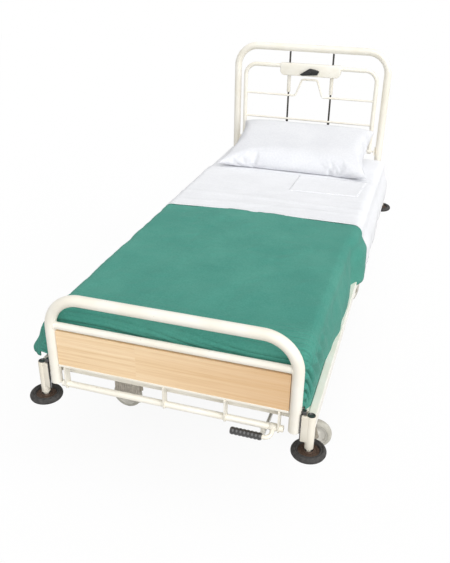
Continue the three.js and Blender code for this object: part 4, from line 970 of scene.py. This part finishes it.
def blanket_ripple(s, t, hang):
    share = np.minimum(hang / 120, 1)
    corner = tucked_corner(s, t) * smoothstep(hang / 25)
    pleats = 1.9 * share * (1 + np.sin(t / 34 + 1.7 * np.sin(t / 90)))
    hem = fade(hang, 105, 45)
    slant = corner * (4 + 4 * hem + (1 - hem) * (2.5 + 6.5 * np.sin((t - 0.9 * hang) / 11)))
    near_foot = 1 - fade(t, FOOT + 10, 140)
    sway = 0.06 * s + 11 * np.sin(s / 130)
    gathers = 2.6 * np.abs(np.sin((t + sway) / 9)) + 3 * np.abs(np.sin((t + sway) / 4.5))
    loose = 0.8 + np.abs(folds(s, t)) + small_folds(s, t) * 0.7 + pleats
    return 1.2 + 1.6 * corner + loose * (1 - 0.9 * corner) + slant + near_foot * (1 - corner) * gathers

def crowned(s, t):
    return TOP + 5 * np.cos(np.clip(s / HALF, -1, 1) * math.pi / 2) ** 2

print("Crown of", round(float(crowned(0, 0) - crowned(HALF, 0)), 1), "mm")

# %% Blanket
BLANKET_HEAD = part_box("blanket")[1].y / MM
SIDE_DROP, FOOT_DROP, GATHERED = 172, 150, 150
RAIL_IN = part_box("side_rail_right")[0].x / MM - 4.6
RAIL_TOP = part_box("side_rail_right")[1].z / MM
across = np.linspace(-(HALF + QUARTER + SIDE_DROP), HALF + QUARTER + SIDE_DROP, 196)
gathered = np.linspace(FOOT - QUARTER - FOOT_DROP, FOOT + GATHERED, 145, endpoint=False)
along = np.concatenate([gathered, np.linspace(FOOT + GATHERED, BLANKET_HEAD, 95)])
places = drape(across, along, HALF, FOOT, NO_END, crowned, blanket_out, blanket_ripple, blanket_fall, blanket_wide)
places[..., 1] += MM * head_edge(across)[:, None] * fade(along, -400, 368)[None, :]
side, y = np.meshgrid(np.sign(across), along, indexing="ij")
tucked = loose_right(side, y) + loose_left(side, y) + over_rail(side, y) < 0.02
room = RAIL_IN * MM + 9 * MM * fade(places[..., 2] / MM, RAIL_TOP + 6, 22)
places[..., 0] = np.where(tucked, np.clip(places[..., 0], -room, room), places[..., 0])
blanket = lattice("blanket_cloth", places, "bed_frame", blanket_cotton, 4, "blanket")
print("Blanket cut to", cut_size(across, along))

# %% [markdown]
# ## Turned-down top sheet
# The top sheet is turned back over the blanket's edge, so its own edge is a fold that stands a little proud. It
# hangs over the right rail, and has a few long creases across the bed from the laundry. Noise stretched across the
# bed gives the small ones, and two smooth ridges the pressed ones.

# %% Top sheet
SHEET_EDGE, SHEET_LEFT, SHEET_RIGHT, UNDER_PILLOW, SHEET_UP = BLANKET_HEAD - 3, 140, 182, 540, 2.5
creases = uneven(110, 2.2, 19.0, stretch=2.4)

def crease(t, place, width, height):
    return height * np.exp(-((t - place) / width) ** 2)

def sheet_out(side, hang, y):
    return np.where(side > 0, 24, 4) * smoothstep(hang / 105)

def sheet_ripple(s, t, hang):
    share = np.minimum(hang / 120, 1)
    pressed = crease(t, 60 + 0.05 * s, 12, 1.6) + crease(t, 150 - 0.02 * s, 16, 2)
    return 3.5 + np.abs(creases(s, t)) + pressed + 2 * share * (1 + np.sin(t / 47))

across = np.linspace(-(HALF + QUARTER + SHEET_LEFT), HALF + QUARTER + SHEET_RIGHT, 150)
along = np.linspace(SHEET_EDGE, UNDER_PILLOW, 110)
places = drape(across, along, HALF, -NO_END, NO_END, plain_top(TOP + SHEET_UP), sheet_out, sheet_ripple,
               wide=lambda side, y: np.where(side > 0, 24, 0))
places[..., 1] += MM * head_edge(across)[:, None] * (1 - fade(along, SHEET_EDGE, 500))[None, :]
lift = 2.5 * MM * np.exp(-((along - SHEET_EDGE) / 16) ** 2)
places[..., 2] += lift[None, :]
top_sheet = lattice("top_sheet_cloth", places, "bed_frame", cotton, 2.4, "top_sheet")
print("Top sheet cut to", cut_size(across, along))

# %% [markdown]
# ## The folded flap
# On the right half a flap of the sheet is folded back on itself. It is a small sheet of its own that follows the
# top sheet a few millimetres higher, and its rolled edges show as a thin line.

# %% Folded flap
FLAP, FLAP_UP = [(65, 302), (70, 536), (408, 536), (389, 321)], 2.2
u, v = np.meshgrid(np.linspace(0, 1, 70), np.linspace(0, 1, 44), indexing="ij")
s, t = ((1 - u) * ((1 - v) * a + v * b) + u * ((1 - v) * d + v * c) for a, b, c, d in zip(*FLAP))
rim = np.minimum(np.minimum(u, 1 - u) * 330, v * 225)
turn_down = np.minimum(np.maximum(s - HALF, 0) / BEND, 1)
rolled = 0.8 * np.exp(-((rim - 9) / 10) ** 2)
level = TOP + SHEET_UP + sheet_ripple(s, t, 0 * s) + FLAP_UP + rolled - BEND * (1 - np.cos(turn_down))
places = np.stack([np.minimum(s, HALF) + BEND * np.sin(turn_down) * (s > HALF), t, level], -1) * MM
flap = lattice("folded_flap_cloth", places, "bed_frame", cotton, 1.4)

# %% [markdown]
# ## Pillow
# A pillow is a flat bag blown up by its filling. The bag starts as two flat sheets, a little larger than the pillow,
# that share a seam. Blender's cloth blows it up with no gravity, so the seam pulls in and puckers as a real one
# does. The blown-up bag is then brought to the size of the CAD pillow, pressed flat underneath, and leant up
# against the backrest.

# %% Sewing the bag
def flat_bag(columns, rows, half_x, half_y, plump_mm):
    u, v = np.meshgrid(np.linspace(-1, 1, columns), np.linspace(-1, 1, rows), indexing="ij")
    plump = 4 + plump_mm * ((1 - np.abs(u) ** 3.2) * (1 - np.abs(v) ** 2.6)) ** 0.5
    upper = np.stack([u * half_x, v * half_y, plump], -1) * MM
    return upper, upper * (1, 1, -1)

def sew(upper, lower):
    shape = bmesh.new()
    for grid in (upper, lower):
        verts = [[shape.verts.new(p) for p in column] for column in grid]
        for a, b in zip(verts, verts[1:]):
            for j in range(len(a) - 1):
                shape.faces.new((a[j], b[j], b[j + 1], a[j + 1]))
    bmesh.ops.bridge_loops(shape, edges=[e for e in shape.edges if e.is_boundary])
    return shape

print("The bag is sewn from two sheets")

# %% Blowing it up and leaning it
PILLOW_LOW, PILLOW_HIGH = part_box("pillow")
BLOWN_TALL, SEAM_RISE, LEAN, SAG, ASIDE = 120, 24, 118, 0.5, 16

def blow_up(obj, pressure, frames):
    cloth = obj.modifiers.new("cloth", "CLOTH")
    cloth.settings.use_pressure, cloth.settings.uniform_pressure_force = True, pressure
    cloth.settings.effector_weights.gravity = 0
    cloth.point_cache.frame_start, cloth.point_cache.frame_end = 1, frames
    for k in range(1, frames + 1):
        scene.frame_set(k)
    blown = obj.evaluated_get(bpy.context.evaluated_depsgraph_get())
    places = np.array([v.co for v in blown.data.vertices])
    scene.frame_set(1)
    obj.modifiers.remove(cloth)
    return places

def lean_up(places):
    size = np.ptp(places, axis=0)
    u, v, w = (2 * places[:, k] / size[k] for k in range(3))
    x = ASIDE + u * (PILLOW_HIGH.x / MM + 4) * (1 - 0.05 * smoothstep(v) * np.abs(u) ** 3)
    y = (PILLOW_LOW.y - 8 * MM + (v + 1) / 2 * (PILLOW_HIGH.y - PILLOW_LOW.y)) / MM
    rise = LEAN * ((v + 1) / 2) ** 1.5
    half = np.where(w > 0, BLOWN_TALL * 0.66, BLOWN_TALL * 0.4 + SAG * rise)
    z = SEAM_RISE + rise + w * half
    return np.stack([x, y, PILLOW_LOW.z / MM + 2 + np.maximum(z, 0)], -1) * MM

print("CAD pillow", [round(c, 3) for c in PILLOW_HIGH - PILLOW_LOW])

# %% Pillow
BAG_HALF_X, BAG_HALF_Y, PRESSURE, FRAMES = 425, 262, 4, 20
soft_start = 14
bag = sew(*flat_bag(120, 76, BAG_HALF_X, BAG_HALF_Y, soft_start))
pillow = piece("pillow_bag", bag, "bed_frame", pillow_cotton_painted_shade, "pillow", crease=80)
blown = blow_up(pillow, PRESSURE, FRAMES)
leant = lean_up(blown)
pillow.data.vertices.foreach_set("co", leant.ravel())
pillow.data.update()
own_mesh(pillow)
print("Pillow from", np.ptp(blown, axis=0).round(3), "m to", np.ptp(leant, axis=0).round(3), "m")
